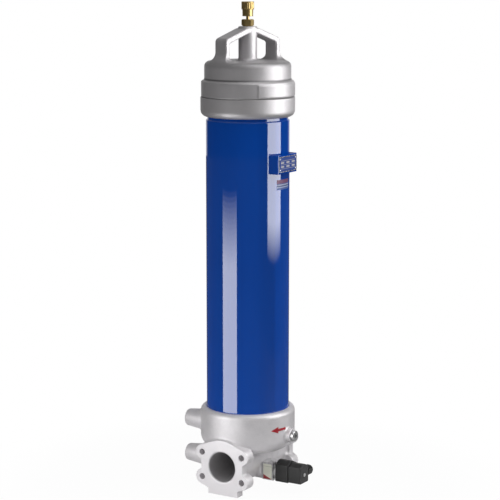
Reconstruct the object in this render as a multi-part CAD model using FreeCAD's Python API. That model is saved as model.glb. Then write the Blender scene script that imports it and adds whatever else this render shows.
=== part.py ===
import FreeCAD, Part
import math
import os

# Inline oil filter. Millimetres, +Z up, origin on the tube's axis in the plane of the feet.
# X runs along the port axis: outlet flange at -X, inlet flange at +X.
# -Y carries the indicator, side plug and nameplate; +Y carries the mounting bosses.

V = FreeCAD.Vector
x_axis = V(1, 0, 0)
y_axis = V(0, 1, 0)
z_axis = V(0, 0, 1)
origin = V(0, 0, 0)

# Fits
slip_gap = 0.1          # between fixed pieces that slide together
moving_gap = 0.3        # between faces of bodies that move
running_gap = 0.05      # radial, shaft in its guide

# Ports and flanges
port_height = 48.5      # from the feet to the port axis
flange_face = 84.0      # half the length from port to port
bore_radius = 25.5
bore_chamfer = 1.5
inlet_passage = 28.0    # length of the inlet's straight bore
port_body_radius = 37.0
flange_radius = 46.5
flange_thickness = 13.0
flange_side = 41.5        # to the straight sides between the ears
flange_side_rounding = 3.0
ear_radius = 13.0
ear_thickness = 19.5
bolt_spacing_y = 77.8
bolt_spacing_z = 42.9
bolt_hole_radius = 5.22
inlet_hole_radius = 5.06    # both within M12's minor diameter; the difference tells the two ends apart
bolt_hole_chamfer = 0.4
foot_front = -31.0
foot_back = 27.0
foot_depth = 18.0
foot_height = 14.0
inlet_bore_end = flange_face - inlet_passage

# Tube
tube_radius = 69.85
tube_wall = 4.0
tube_length = 524.2     # from its seat to its shoulder
tube_depth = 36.5       # length of it that stands in the head
neck_step = 2.35        # the neck's radius is this much less
neck_length = 15.8
tube_shoulder_chamfer = 1.8
neck_radius = tube_radius - neck_step

# Collar and bowl of the head
collar_wall = 10.45     # round the tube
collar_height = 68.0
collar_rounding = 8.5
bowl_rise = 23.0        # from the port axis to the bowl's underside
bowl_rounding = 22.0
bowl_overlap = 6.0      # of the bowl into the port body
floor_thickness = 8.5
tube_ledge = 2.85       # width of the ledge that carries the tube
cavity_chamfer = 7.0
riser_wall_radius = 30.0
riser_radius = 18.0
riser_height = 12.0
pocket_radius = 14.5
pocket_offset = 46.0
collar_radius = tube_radius + collar_wall
bowl_bottom = port_height + bowl_rise
collar_top = bowl_bottom + collar_height
cavity_radius = tube_radius - tube_wall - tube_ledge
cavity_floor = bowl_bottom + floor_thickness
riser_top = cavity_floor + riser_height
tube_seat = collar_top - tube_depth
tube_top = tube_seat + tube_length
neck_top = tube_top + neck_length

# Mounting bosses at the back
boss_reach = 15.7       # past the collar
boss_root = 38.0
boss_end_radius = 14.5
boss_root_radius = 21.0
boss_spacing_x = 74.0
boss_spacing_z = 61.5
boss_lift = 2.5         # of the lower pair above the port axis
boss_hole_depth = 22.0
boss_face = collar_radius + boss_reach

# Side plug and drain plug
side_plug_drop = 42.7   # below the collar's top
side_boss_radius = 12.0
side_boss_reach = 8.7   # past the collar
plug_thread_radius = 6.5
plug_head_radius = 9.0
plug_head_height = 5.0
plug_key_flats = 6.0
plug_key_depth = 4.0
plug_thread_length = 9.0
plug_seal_thickness = 1.0
plug_edge = 0.8
drain_boss_height = 5.0
drain_boss_radius = 12.0
side_plug_height = collar_top - side_plug_drop
side_boss_face = collar_radius + side_boss_reach
drain_boss_face = port_height - port_body_radius - drain_boss_height

# Flow arrow on the collar
arrow_tip_angle = 60.6
arrow_tail_angle = 83.9
arrow_head_share = 0.45
arrow_lift = 13.7       # above the side plug
arrow_head_width = 11.0
arrow_shaft_width = 4.2
arrow_thickness = 0.5
arrow_height = side_plug_height + arrow_lift

# Tube end ring
end_ring_wall = 9.8     # round the cover's thread
end_ring_height = 32.5
end_ring_overlap = 10.0
end_ring_rounding = 10.8
end_ring_thread_step = 1.5  # of the cover's thread outside the tube's neck
end_ring_lip = 2.0
rim_edge = 0.6          # flat that breaks the rims of the ring and the cover
end_ring_thread_radius = neck_radius + end_ring_thread_step
end_ring_radius = end_ring_thread_radius + end_ring_wall
end_ring_bottom = neck_top - end_ring_overlap
end_ring_top = end_ring_bottom + end_ring_height

# Cover
cover_step_in = 1.2     # of the band from the ring's face
cover_band_height = 25.7
cover_step_rounding = 2.0
dome_step_in = 5.3
dome_step_rise = 3.0
dome_step_rounding = 2.5
dome_height = 30.3
dome_rounding = 9.0
skirt_length = 19.8
skirt_wall = 6.2
cover_crown = 9.8
crown_chamfer = 8.0
groove_lift = 3.8       # of the skirt's O-ring above its lower end
hub_radius = 15.5
hub_height = 56.7
hub_foot_rounding = 6.0
hub_edge = 0.8
tablet_start_angle = 44.0
tablet_end_angle = 122.0
tablet_low_margin = 2.0
tablet_high_margin = 2.5
tablet_thickness = 1.2
tablet_slope = 0.8
cover_rim = end_ring_top + moving_gap
cover_radius = end_ring_radius - cover_step_in
cover_step_height = cover_rim + cover_band_height
dome_radius = cover_radius - dome_step_in
dome_step_height = cover_step_height + dome_step_rise
dome_top = dome_step_height + dome_height
skirt_radius = end_ring_thread_radius - moving_gap
skirt_inner_radius = skirt_radius - skirt_wall
skirt_bottom = cover_rim - skirt_length
oring_groove_height = skirt_bottom + groove_lift
hub_top = dome_top + hub_height
tablet_bottom = cover_rim + tablet_low_margin
tablet_top = cover_step_height - tablet_high_margin

# O-rings
tube_oring_lift = 17.0
tube_oring_radius = 1.35
end_oring_lift = 5.0
end_oring_radius = 1.1
cover_oring_radius = 1.45
element_oring_radius = 1.5
oring_side_gap = 0.25
tube_oring_height = tube_seat + tube_oring_lift
end_oring_height = end_ring_bottom + end_oring_lift

# Handle on the cover
handle_turn = -20.0     # degrees from +X, seen from above
handle_inset = 15.3     # of the legs' outer faces from the dome's side
handle_width = 30.0
handle_arm_drop = 4.0   # of the arms' inner ends below the hub's top
handle_slope_drop = 16.0
handle_arm_thickness = 10.0
handle_leg_thickness = 8.0
handle_corner_rounding = 8.0
handle_window_rounding = 5.0
handle_foot_rounding = 8.0
handle_edge_rounding = 2.0
handle_flare_rounding = 14.0    # of the legs' outer faces into the dome's side
handle_side_flare = 12.5        # rounding of the legs' edges into the dome, each way across
handle_foot_sink = 0.2          # of the feet's roundings under the dome's skin
handle_slope_cover = 0.6        # left on the feet's slope before the cone trims it
handle_reach = dome_radius - handle_inset
handle_arm_height = hub_top - handle_arm_drop
handle_corner_height = handle_arm_height - handle_slope_drop
slope_foot_radius = dome_radius - dome_rounding * (1 - math.sqrt(0.5))
slope_foot_height = dome_top - dome_rounding * (1 - math.sqrt(0.5)) - handle_foot_sink

# Bleed valve on the hub
vent_thread_radius = 6.0
vent_thread_depth = 11.5
vent_passage_radius = 2.0
vent_seal_thickness = 0.8
vent_seal_inset = 0.8   # of the seal's rim from the hexagon's flats
vent_hex_flats = 18.0
vent_hex_height = 10.7
vent_stem_radius = 2.75
vent_needle_depth = 7.5
vent_needle_taper = 3.0
vent_knob_lift = 5.0
vent_sleeve_length = 11.0
vent_cap_height = 13.0
vent_sleeve_radius = 8.9
vent_cap_radius = 10.4
vent_grip_count = 16
vent_grip_radius = 1.1
vent_grip_start = 1.5
vent_knob_edge = 0.9
vent_body_top = hub_top + vent_seal_thickness + vent_hex_height
vent_needle_tip = hub_top - vent_needle_depth
vent_knob_bottom = vent_body_top + vent_knob_lift
vent_sleeve_top = vent_knob_bottom + vent_sleeve_length
vent_knob_top = vent_sleeve_top + vent_cap_height

# Outlet spigot and filter element
spigot_radius = 24.0
spigot_bore_radius = 17.5
spigot_thread_radius = 21.0
spigot_thread_length = 10.0
spigot_shoulder_radius = 27.0
spigot_shoulder_height = 4.0
spigot_length = 34.0
spigot_lead = 1.5
element_side_gap = 11.85    # between the caps and the tube
element_top_drop = 7.0      # of the top cap below the neck's end
cap_thickness = 4.0
cap_rim_height = 9.0
cap_rim_wall = 1.2
cap_lift = 16.0             # of the lower cap above the spigot's shoulder
cap_collar_wall = 4.4
cap_collar_rise = 6.0
core_radius = 31.5
core_wall = 1.5
core_slot_rows = 7
core_slots_around = 4
core_slot_width = 9.0
core_slot_share = 0.6       # of each row's height
pleat_count = 40
pleat_core_gap = 1.5
pleat_wrap_gap = 1.4
pleat_sheet = 2.2           # radial thickness of the folded sheet
wrap_wall = 0.8
spigot_top = riser_top + spigot_length
spigot_thread_bottom = riser_top - spigot_thread_length
spigot_shoulder_top = riser_top + spigot_shoulder_height
cap_radius = tube_radius - tube_wall - element_side_gap
cap_collar_radius = spigot_radius + slip_gap + cap_collar_wall
bottom_cap_height = spigot_shoulder_top + cap_lift
medium_low = bottom_cap_height + cap_thickness
cap_collar_top = medium_low + cap_collar_rise
top_cap_height = neck_top - element_top_drop
wrap_radius = cap_radius - cap_rim_wall - slip_gap
pleat_outer_radius = wrap_radius - wrap_wall - pleat_wrap_gap
pleat_inner_radius = core_radius + pleat_core_gap

# Bypass valve in the element's top cap
bypass_seat_radius = 13.0
poppet_overlap = 3.0
poppet_thickness = 3.3
poppet_edge = 0.8
poppet_stem_radius = 3.0
cage_side_gap = 3.0
cage_wall = 5.0
cage_ring_height = 8.0
cage_floor = 4.0
cage_leg_count = 3
cage_leg_width = 10.0
spring_radius = 8.0
spring_wire = 1.6
spring_turns = 5.0
spring_length = 28.4
poppet_radius = bypass_seat_radius + poppet_overlap
cage_radius = poppet_radius + cage_side_gap + cage_wall

# Element bail handle
bail_radius = 40.0
bail_wire_radius = 2.2
bail_pin_radius = 2.0
bail_lift = 7.0         # above the top cap
bail_ear_gap = 0.6
ear_plate_thickness = 4.0
ear_plate_width = 10.0
bail_height = top_cap_height + cap_thickness + bail_lift
ear_outer_reach = bail_radius - bail_wire_radius - bail_ear_gap

# Differential pressure indicator
indicator_drop = 17.0   # below the port axis
indicator_boss_radius = 17.5
indicator_boss_reach = 0.4      # past the port body
indicator_seal_thickness = 1.0
indicator_seal_width = 4.0
indicator_nose_radius = 8.0
indicator_nose_length = 11.0
indicator_side = 30.0
indicator_body_length = 20.6
indicator_edge_rounding = 2.0
indicator_bore_radius = 5.0
piston_length = 12.0
piston_recess = 3.0
piston_travel = 2.0
piston_spring_length = 11.0
piston_spring_radius = 3.6
piston_spring_wire = 0.9
piston_spring_turns = 4.0
label_margin = 2.0
label_thickness = 0.3
ring_nut_radius = 13.5
ring_nut_bore = 6.0
ring_nut_length = 5.0
switch_side = 30.0
switch_length = 24.0
switch_edge_rounding = 2.5
switch_roof_rise = 5.5
roof_flat = 6.0
front_rounding = 0.8
gasket_thickness = 1.5
gasket_inset = 0.5
connector_side = 28.0
connector_length = 22.5
connector_edge_rounding = 2.5
connector_roof_rise = 4.5
connector_screw_radius = 3.2
connector_screw_depth = 1.6
connector_screw_rise = 0.8
screw_slot_width = 1.2
gland_setback = 11.0    # of the gland's axis from the connector's end
gland_depth = 3.7       # of the insert inside the connector's wall
gland_neck_radius = 8.0
gland_neck_length = 6.0
gland_nut_flats = 17.0
gland_nut_length = 17.0
gland_dome_length = 6.0
gland_dome_taper = 1.0
gland_dome_edge = 1.5
gland_bore_radius = 3.5
gland_insert_radius = 5.5
gland_mouth_wall = 2.0
indicator_height = port_height - indicator_drop
indicator_boss_face = port_body_radius + indicator_boss_reach
indicator_seat = indicator_boss_face + indicator_seal_thickness
indicator_front = indicator_seat + indicator_body_length
nose_end = indicator_boss_face - indicator_nose_length
piston_start = nose_end + piston_recess
piston_end = piston_start + piston_length
ring_nut_front = indicator_front + ring_nut_length
switch_front = ring_nut_front + switch_length
connector_start = switch_front + gasket_thickness
connector_front = connector_start + connector_length
gland_offset = connector_front - gland_setback
gland_start = connector_side / 2 - gland_depth
gland_neck_end = connector_side / 2 + gland_neck_length
gland_nut_end = gland_neck_end + gland_nut_length
gland_insert_end = gland_nut_end - gland_mouth_wall

# Nameplate and sticker on the tube
bracket_centre_x = -3.0
bracket_width = 62.0
bracket_height = 31.0
bracket_drop = 53.2     # of its upper edge below the tube's shoulder
bracket_stand_off = 9.15    # of its front from the tube
bracket_sheet = 1.6
bracket_bend_radius = 2.5
plate_margin = 2.5
plate_thickness = 0.8
plate_corner_radius = 1.5
rivet_radius = 1.6
rivet_inset = 4.0
rivet_head_height = 0.9
rivet_edge = 0.5
sticker_half_angle = 15.0
sticker_gap = 11.5      # below the bracket
sticker_height = 16.5
sticker_thickness = 0.2
bracket_top = tube_top - bracket_drop
bracket_bottom = bracket_top - bracket_height
bracket_front = tube_radius + bracket_stand_off
sticker_top = bracket_bottom - sticker_gap
sticker_bottom = sticker_top - sticker_height

os.makedirs("parts", exist_ok=True)


def save(node, shape):
    solids = len(shape.Solids)
    print(f"{node}: {solids} solid(s), {shape.Volume / 1000:.2f} cm3, valid {shape.isValid()}")
    shape.exportStep(f"parts/{node}.step")


def rounded_wire(corners, place):
    """Closed wire through corners (a, b, rounding): over 0 is a tangent arc, under 0 a flat."""
    stretches = []
    count = len(corners)
    for index, (a, b, rounding) in enumerate(corners):
        corner = V(a, b, 0)
        if rounding == 0:
            stretches.append((corner, None, corner))
            continue
        last = corners[index - 1]
        following = corners[(index + 1) % count]
        before = (V(last[0], last[1], 0) - corner).normalize()
        after = (V(following[0], following[1], 0) - corner).normalize()
        if rounding < 0:
            stretches.append((corner - before * rounding, None, corner - after * rounding))
            continue
        half_angle = before.getAngle(after) / 2
        run = rounding / math.tan(half_angle)
        inward = (before + after).normalize()
        middle = corner + inward * (rounding / math.sin(half_angle) - rounding)
        stretches.append((corner + before * run, middle, corner + after * run))
    edges = []
    for index, (start, middle, end) in enumerate(stretches):
        if middle is not None:
            edges.append(Part.Arc(place(start), place(middle), place(end)).toShape())
        elif start.distanceToPoint(end) > 1e-6:
            edges.append(Part.makeLine(place(start), place(end)))
        onward = stretches[(index + 1) % count][0]
        if end.distanceToPoint(onward) > 1e-6:
            edges.append(Part.makeLine(place(end), place(onward)))
    return Part.Wire(edges)


def turned(corners, centre=origin, axis=z_axis, radial=x_axis):
    """Solid of revolution from corners (radius, distance along the axis, rounding)."""
    wire = rounded_wire(corners, lambda p: centre + radial * p.x + axis * p.y)
    return Part.Face(wire).revolve(centre, axis, 360)


def sharp(*points):
    """Corners without rounding."""
    return [(a, b, 0) for a, b in points]


def tube_shape(outer, inner, low, high, centre=origin, axis=z_axis, radial=x_axis):
    corners = sharp((inner, low), (outer, low), (outer, high), (inner, high))
    return turned(corners, centre, axis, radial)


def block(low, high):
    return Part.makeBox(high[0] - low[0], high[1] - low[1], high[2] - low[2], V(*low))


def prism(corners, place, sweep):
    return Part.Face(rounded_wire(corners, place)).extrude(sweep)


def oring(inner, outer, height):
    """Sealing ring about the tube's axis: an eight-sided section as wide as it is high."""
    middle = (inner + outer) / 2
    half = (outer - inner) / 2
    flat = half * math.tan(math.pi / 8)
    section = [(half, -flat), (half, flat), (flat, half), (-flat, half),
               (-half, flat), (-half, -flat), (-flat, -half), (flat, -half)]
    return turned(sharp(*[(middle + a, height + b) for a, b in section]))


def hexagon(flats, start, axis, radial, length):
    corner_radius = flats / math.sqrt(3)
    across = axis.cross(radial)
    points = []
    for index in range(7):
        angle = math.radians(60 * index)
        spoke = radial * math.cos(angle) + across * math.sin(angle)
        points.append(start + spoke * corner_radius)
    return Part.Face(Part.makePolygon(points)).extrude(axis * length)


def coil(ring_radius, wire_width, low, high, turns):
    """Helical spring of square wire about the Z axis."""
    length = high - low - wire_width
    half = wire_width / 2
    helix = Part.makeHelix(length / turns, length, ring_radius)
    square = ((-1, -1), (1, -1), (1, 1), (-1, 1), (-1, -1))
    corners = [V(ring_radius + a * half, 0, b * half) for a, b in square]
    spring = Part.Wire(helix).makePipeShell([Part.makePolygon(corners)], True, True)
    spring.translate(V(0, 0, low + half))
    return spring


def junction_edges(shape, near):
    """Edges whose middle point passes the test near(x, y, z)."""
    chosen = []
    for edge in shape.Edges:
        middle = edge.valueAt((edge.FirstParameter + edge.LastParameter) / 2)
        if near(middle.x, middle.y, middle.z):
            chosen.append(edge)
    return chosen


# Head

def bolt_places():
    for side_y in (-1, 1):
        for side_z in (-1, 1):
            yield side_y * bolt_spacing_y / 2, port_height + side_z * bolt_spacing_z / 2


def flange_ear_fill(side_y, side_z):
    """Wedge between the round flange and one ear, bounded by their common tangent."""
    ear_distance = math.hypot(bolt_spacing_y, bolt_spacing_z) / 2
    ear_angle = math.atan2(bolt_spacing_z, bolt_spacing_y)
    tangent_angle = ear_angle + math.acos((flange_radius - ear_radius) / ear_distance)
    normal_y = math.cos(tangent_angle)
    normal_z = math.sin(tangent_angle)
    ear_y = bolt_spacing_y / 2
    ear_z = bolt_spacing_z / 2
    points = sharp((0, 0), (flange_radius * normal_y, flange_radius * normal_z),
                   (ear_y + ear_radius * normal_y, ear_z + ear_radius * normal_z), (ear_y, ear_z))
    place = lambda p: V(0, side_y * p.x, port_height + side_z * p.y)
    return prism(points, place, V(flange_thickness, 0, 0))


def flange_plate():
    """Plate of the flange at +X: round above and below, straight between the ears at each side."""
    inner_face = flange_face - flange_thickness
    disc = Part.makeCylinder(flange_radius, flange_thickness, V(inner_face, 0, port_height), x_axis)
    sides = block((inner_face, -flange_side, 0), (flange_face, flange_side, 2 * port_height))
    pieces = []
    for y, z in bolt_places():
        pieces.append(Part.makeCylinder(ear_radius, flange_thickness, V(inner_face, y, z), x_axis))
    for side_y in (-1, 1):
        for side_z in (-1, 1):
            fill = flange_ear_fill(side_y, side_z)
            fill.translate(V(inner_face, 0, 0))
            pieces.append(fill)
    plate = disc.common(sides).fuse(pieces).removeSplitter()
    middle = flange_face - flange_thickness / 2
    notches = junction_edges(plate, lambda x, y, z: abs(x - middle) < 0.1 and abs(abs(y) - flange_side) < 0.1)
    return plate.makeFillet(flange_side_rounding, notches)


def flange():
    """Flange at +X, from its face inwards, with feet and ears."""
    pieces = []
    for y, z in bolt_places():
        ear = Part.makeCylinder(ear_radius, ear_thickness, V(flange_face - ear_thickness, y, z), x_axis)
        pieces.append(ear)
    foot = block((flange_face - foot_depth, foot_front, 0), (flange_face, foot_back, foot_height))
    pieces.append(foot)
    return flange_plate().fuse(pieces)


def mounting_boss(x, z):
    length = boss_face - boss_root
    return Part.makeCone(boss_root_radius, boss_end_radius, length, V(x, boss_root, z), y_axis)


def boss_places():
    low = port_height + boss_lift
    for x in (-boss_spacing_x / 2, boss_spacing_x / 2):
        for z in (low, low + boss_spacing_z):
            yield x, z


def head_outside():
    root = bowl_bottom - bowl_overlap
    bowl = turned([(0, root, 0), (port_body_radius, root, 0),
                   (collar_radius, bowl_bottom, bowl_rounding),
                   (collar_radius, collar_top, collar_rounding), (0, collar_top, 0)])
    port_body_end = flange_face - flange_thickness / 2
    port_body = Part.makeCylinder(port_body_radius, 2 * port_body_end,
                                  V(-port_body_end, 0, port_height), x_axis)
    outlet_flange = flange()
    outlet_flange = outlet_flange.mirror(origin, x_axis)
    side_boss = Part.makeCylinder(side_boss_radius, side_boss_face - cavity_radius,
                                  V(0, -side_boss_face, side_plug_height), y_axis)
    indicator_boss = Part.makeCylinder(indicator_boss_radius, indicator_boss_face / 2,
                                       V(0, -indicator_boss_face, indicator_height), y_axis)
    drain_boss = Part.makeCylinder(drain_boss_radius, drain_boss_height + port_body_radius / 2,
                                   V(pocket_offset, 0, drain_boss_face), z_axis)
    bosses = [mounting_boss(x, z) for x, z in boss_places()]
    return bowl.fuse([port_body, flange(), outlet_flange, side_boss, indicator_boss, drain_boss] + bosses)


def plain_hole(radius, chamfer, mouth, direction, depth):
    """Cutter for a blind hole with a chamfered mouth; direction points into the material."""
    radial = z_axis if abs(direction.z) < 0.5 else x_axis
    outline = sharp((0, -chamfer), (radius + 2 * chamfer, -chamfer), (radius, chamfer),
                    (radius, depth), (0, depth))
    return turned(outline, mouth, direction, radial)


def head_hollow():
    tube_bore = tube_radius + slip_gap
    cavity = turned([(riser_wall_radius, cavity_floor, 0), (cavity_radius, cavity_floor, -cavity_chamfer),
                     (cavity_radius, tube_seat, 0), (tube_bore, tube_seat, 0),
                     (tube_bore, collar_top + 1, 0), (0, collar_top + 1, 0), (0, riser_top, 0),
                     (riser_wall_radius, riser_top, 0)])
    groove_height = tube_oring_radius + oring_side_gap
    groove = tube_shape(tube_radius + 2 * tube_oring_radius - slip_gap, tube_bore - 1,
                        tube_oring_height - groove_height, tube_oring_height + groove_height)
    riser = Part.makeCylinder(riser_radius, riser_top - port_height + 1, V(0, 0, port_height), z_axis)
    spigot_thread = Part.makeCylinder(spigot_thread_radius + slip_gap, riser_top + 1 - spigot_thread_bottom,
                                      V(0, 0, spigot_thread_bottom), z_axis)
    outlet = Part.makeCylinder(bore_radius, flange_face + 1, V(-flange_face - 1, 0, port_height), x_axis)
    outlet_end = Part.makeSphere(bore_radius, V(0, 0, port_height))
    inlet = Part.makeCylinder(bore_radius, flange_face + 1 - inlet_bore_end,
                              V(inlet_bore_end, 0, port_height), x_axis)
    inlet_end = Part.makeSphere(bore_radius, V(inlet_bore_end, 0, port_height))
    pocket = Part.makeCylinder(pocket_radius, cavity_floor - port_height + 2,
                               V(pocket_offset, 0, port_height), z_axis)
    return [cavity, groove, riser, spigot_thread, outlet, outlet_end, inlet, inlet_end, pocket]


def head_holes():
    holes = []
    for side, radius in ((-1, bolt_hole_radius), (1, inlet_hole_radius)):
        mouth = V(side * flange_face, 0, port_height)
        holes.append(plain_hole(bore_radius, bore_chamfer, mouth, x_axis * -side, bore_chamfer * 2))
        for y, z in bolt_places():
            mouth = V(side * flange_face, y, z)
            holes.append(plain_hole(radius, bolt_hole_chamfer, mouth, x_axis * -side, ear_thickness + 1))
    for x, z in boss_places():
        holes.append(plain_hole(bolt_hole_radius, bolt_hole_chamfer, V(x, boss_face, z), y_axis * -1,
                                boss_hole_depth))
    plug_hole = plug_thread_radius + slip_gap
    side_depth = side_boss_face - cavity_radius + 2
    side_mouth = V(0, -side_boss_face - 1, side_plug_height)
    holes.append(Part.makeCylinder(plug_hole, side_depth + 1, side_mouth, y_axis))
    holes.append(Part.makeCylinder(plug_hole, port_height - drain_boss_face,
                                   V(pocket_offset, 0, drain_boss_face - 1), z_axis))
    holes.append(Part.makeCylinder(indicator_nose_radius + slip_gap, indicator_nose_length + 2,
                                   V(0, -indicator_boss_face - 1, indicator_height), y_axis))
    return holes


def head_casting():
    return head_outside().removeSplitter().cut(head_hollow() + head_holes()).removeSplitter()


def plug(face, direction, radial):
    """Hexagon socket collar plug; face is where its collar seats, direction points outwards."""
    seat = plug_seal_thickness
    head = turned([(0, seat, 0), (plug_head_radius, seat, 0),
                   (plug_head_radius, seat + plug_head_height, -plug_edge), (0, seat + plug_head_height, 0)],
                  face, direction, radial)
    shank = turned([(0, -plug_thread_length, 0), (plug_thread_radius, -plug_thread_length, -plug_edge),
                    (plug_thread_radius, seat, 0), (0, seat, 0)], face, direction, radial)
    top = face + direction * (seat + plug_head_height)
    socket = hexagon(plug_key_flats, top - direction * plug_key_depth, direction, radial, plug_key_depth + 1)
    return head.fuse(shank).cut(socket)


def plug_seal(face, direction, radial):
    return tube_shape(plug_head_radius - plug_edge, plug_thread_radius + slip_gap, 0, plug_seal_thickness,
                      face, direction, radial)


def flow_arrow():
    """Arrow wrapped round the collar, pointing to the outlet."""
    tip = collar_radius * math.radians(arrow_tip_angle)
    tail = collar_radius * math.radians(arrow_tail_angle)
    neck = tip + (tail - tip) * arrow_head_share
    half_head = arrow_head_width / 2
    half_shaft = arrow_shaft_width / 2
    outline = [(tip, 0), (neck, half_head), (neck, half_shaft), (tail, half_shaft),
               (tail, -half_shaft), (neck, -half_shaft), (neck, -half_head)]
    middle = (tip + tail) / 2
    facing = middle / collar_radius
    outward = V(-math.cos(facing), -math.sin(facing), 0)
    along = V(math.sin(facing), -math.cos(facing), 0)

    def place(p):
        across = collar_radius * math.sin((p.x - middle) / collar_radius)
        return outward * (collar_radius - arrow_head_width) + along * across + z_axis * (arrow_height + p.y)

    stamp = prism(sharp(*outline), place, outward * 2 * arrow_head_width)
    skin = tube_shape(collar_radius + arrow_thickness, collar_radius,
                      arrow_height - arrow_head_width, arrow_height + arrow_head_width)
    return skin.common(stamp)


def outlet_spigot():
    return turned([(spigot_bore_radius, spigot_thread_bottom, 0),
                   (spigot_thread_radius, spigot_thread_bottom, 0), (spigot_thread_radius, riser_top, 0),
                   (spigot_shoulder_radius, riser_top, 0), (spigot_shoulder_radius, spigot_shoulder_top, 0),
                   (spigot_radius, spigot_shoulder_top, 0), (spigot_radius, spigot_top, -spigot_lead),
                   (spigot_bore_radius, spigot_top, 0)])


# Tube and end ring

def filter_tube():
    inner = tube_radius - tube_wall
    neck_inner = neck_radius - tube_wall
    inner_shoulder = tube_top - tube_wall
    return turned([(inner, tube_seat, 0), (tube_radius, tube_seat, 0),
                   (tube_radius, tube_top, -tube_shoulder_chamfer),
                   (neck_radius, tube_top + tube_shoulder_chamfer, 0),
                   (neck_radius, neck_top, 0), (neck_inner, neck_top, 0), (neck_inner, inner_shoulder, 0),
                   (inner, inner_shoulder - tube_shoulder_chamfer, 0)])


def tube_end_ring():
    neck_bore = neck_radius + slip_gap
    lip_radius = neck_radius - tube_wall
    lip_top = neck_top + end_ring_lip
    body = turned([(neck_bore, end_ring_bottom, 0), (end_ring_radius, end_ring_bottom, end_ring_rounding),
                   (end_ring_radius, end_ring_top, -rim_edge), (end_ring_thread_radius, end_ring_top, 0),
                   (end_ring_thread_radius, lip_top, 0), (lip_radius, lip_top, 0),
                   (lip_radius, neck_top, 0), (neck_bore, neck_top, 0)])
    groove_height = end_oring_radius + oring_side_gap
    groove = tube_shape(neck_radius + 2 * end_oring_radius - slip_gap, neck_bore - 1,
                        end_oring_height - groove_height, end_oring_height + groove_height)
    return body.cut(groove)


def shaft_oring(shaft_radius, wire_radius, height):
    """O-ring that touches its shaft and the floor of the groove round it."""
    return oring(shaft_radius, shaft_radius + 2 * wire_radius - slip_gap, height)


def info_sticker():
    """Thin film on the front of the tube."""
    outer = tube_radius + sticker_thickness
    corners = sharp((tube_radius, sticker_bottom), (outer, sticker_bottom), (outer, sticker_top),
                    (tube_radius, sticker_top))
    face = Part.Face(rounded_wire(corners, lambda p: V(0, -p.x, p.y)))
    face.rotate(origin, z_axis, -sticker_half_angle)
    return face.revolve(origin, z_axis, 2 * sticker_half_angle)


def nameplate_bracket():
    left = bracket_centre_x - bracket_width / 2
    right = bracket_centre_x + bracket_width / 2
    inner_left = left + bracket_sheet
    inner_right = right - bracket_sheet
    back = bracket_sheet - bracket_front
    outer = bracket_bend_radius
    inner = bracket_bend_radius - bracket_sheet
    root = -tube_radius / 2
    outline = [(left, root, 0), (left, -bracket_front, outer), (right, -bracket_front, outer),
               (right, root, 0), (inner_right, root, 0), (inner_right, back, inner),
               (inner_left, back, inner), (inner_left, root, 0)]
    channel = prism(outline, lambda p: V(p.x, p.y, bracket_bottom), V(0, 0, bracket_height))
    tube_body = Part.makeCylinder(tube_radius, bracket_height, V(0, 0, bracket_bottom), z_axis)
    return channel.cut(tube_body)


def nameplate():
    half = bracket_width / 2 - plate_margin
    plate = block((bracket_centre_x - half, -bracket_front - plate_thickness, bracket_bottom + plate_margin),
                  (bracket_centre_x + half, -bracket_front, bracket_top - plate_margin))
    uprights = junction_edges(plate, lambda x, y, z: abs(y + bracket_front + plate_thickness / 2) < 0.1)
    return plate.makeFillet(plate_corner_radius, uprights)


def nameplate_rivets():
    rivets = []
    front = -bracket_front - plate_thickness
    for side in (-1, 1):
        x = bracket_centre_x + side * (bracket_width / 2 - plate_margin - rivet_inset)
        for z in (bracket_bottom + plate_margin + rivet_inset, bracket_top - plate_margin - rivet_inset):
            head = turned([(0, 0, 0), (rivet_radius, 0, 0), (rivet_radius, rivet_head_height, -rivet_edge),
                           (0, rivet_head_height, 0)], V(x, front, z), y_axis * -1, x_axis)
            rivets.append(head)
    return Part.makeCompound(rivets)


# Filter element

def cap_disc(low, rim_up):
    """Pressed end cap with a rim round the medium."""
    high = low + cap_thickness
    rim_inner = cap_radius - cap_rim_wall
    if rim_up:
        rim_top = high + cap_rim_height
        return sharp((cap_radius, low), (cap_radius, rim_top), (rim_inner, rim_top), (rim_inner, high))
    rim_low = low - cap_rim_height
    return sharp((rim_inner, low), (rim_inner, rim_low), (cap_radius, rim_low), (cap_radius, high))


def element_oring_height():
    return (spigot_shoulder_top + bottom_cap_height) / 2


def element_bottom_cap():
    bore = spigot_radius + slip_gap
    collar = cap_collar_radius
    outline = sharp((bore, spigot_shoulder_top), (collar, spigot_shoulder_top), (collar, bottom_cap_height))
    outline += cap_disc(bottom_cap_height, True)
    outline += sharp((collar, medium_low), (collar, cap_collar_top), (bore, cap_collar_top))
    groove_height = element_oring_radius + oring_side_gap
    middle = element_oring_height()
    groove = tube_shape(spigot_radius + 2 * element_oring_radius - slip_gap, bore - 1,
                        middle - groove_height, middle + groove_height)
    return turned(outline).cut(groove)


def element_oring():
    return shaft_oring(spigot_radius, element_oring_radius, element_oring_height())


def element_core():
    core = tube_shape(core_radius, core_radius - core_wall, medium_low, top_cap_height)
    row_pitch = (top_cap_height - medium_low) / core_slot_rows
    half_slot = row_pitch * core_slot_share / 2
    slots = []
    for row in range(core_slot_rows):
        middle = medium_low + row_pitch * (row + 0.5)
        for index in range(core_slots_around // 2):
            slot = block((-core_radius - 1, -core_slot_width / 2, middle - half_slot),
                         (core_radius + 1, core_slot_width / 2, middle + half_slot))
            slot.rotate(origin, z_axis, 360 / core_slots_around * (index + 0.5 * (row % 2)))
            slots.append(slot)
    return core.cut(slots)


def star(outer, inner):
    points = []
    for index in range(2 * pleat_count):
        angle = math.pi * index / pleat_count
        radius = outer if index % 2 == 0 else inner
        points.append(V(radius * math.cos(angle), radius * math.sin(angle), medium_low))
    points.append(points[0])
    return Part.Face(Part.makePolygon(points))


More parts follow.
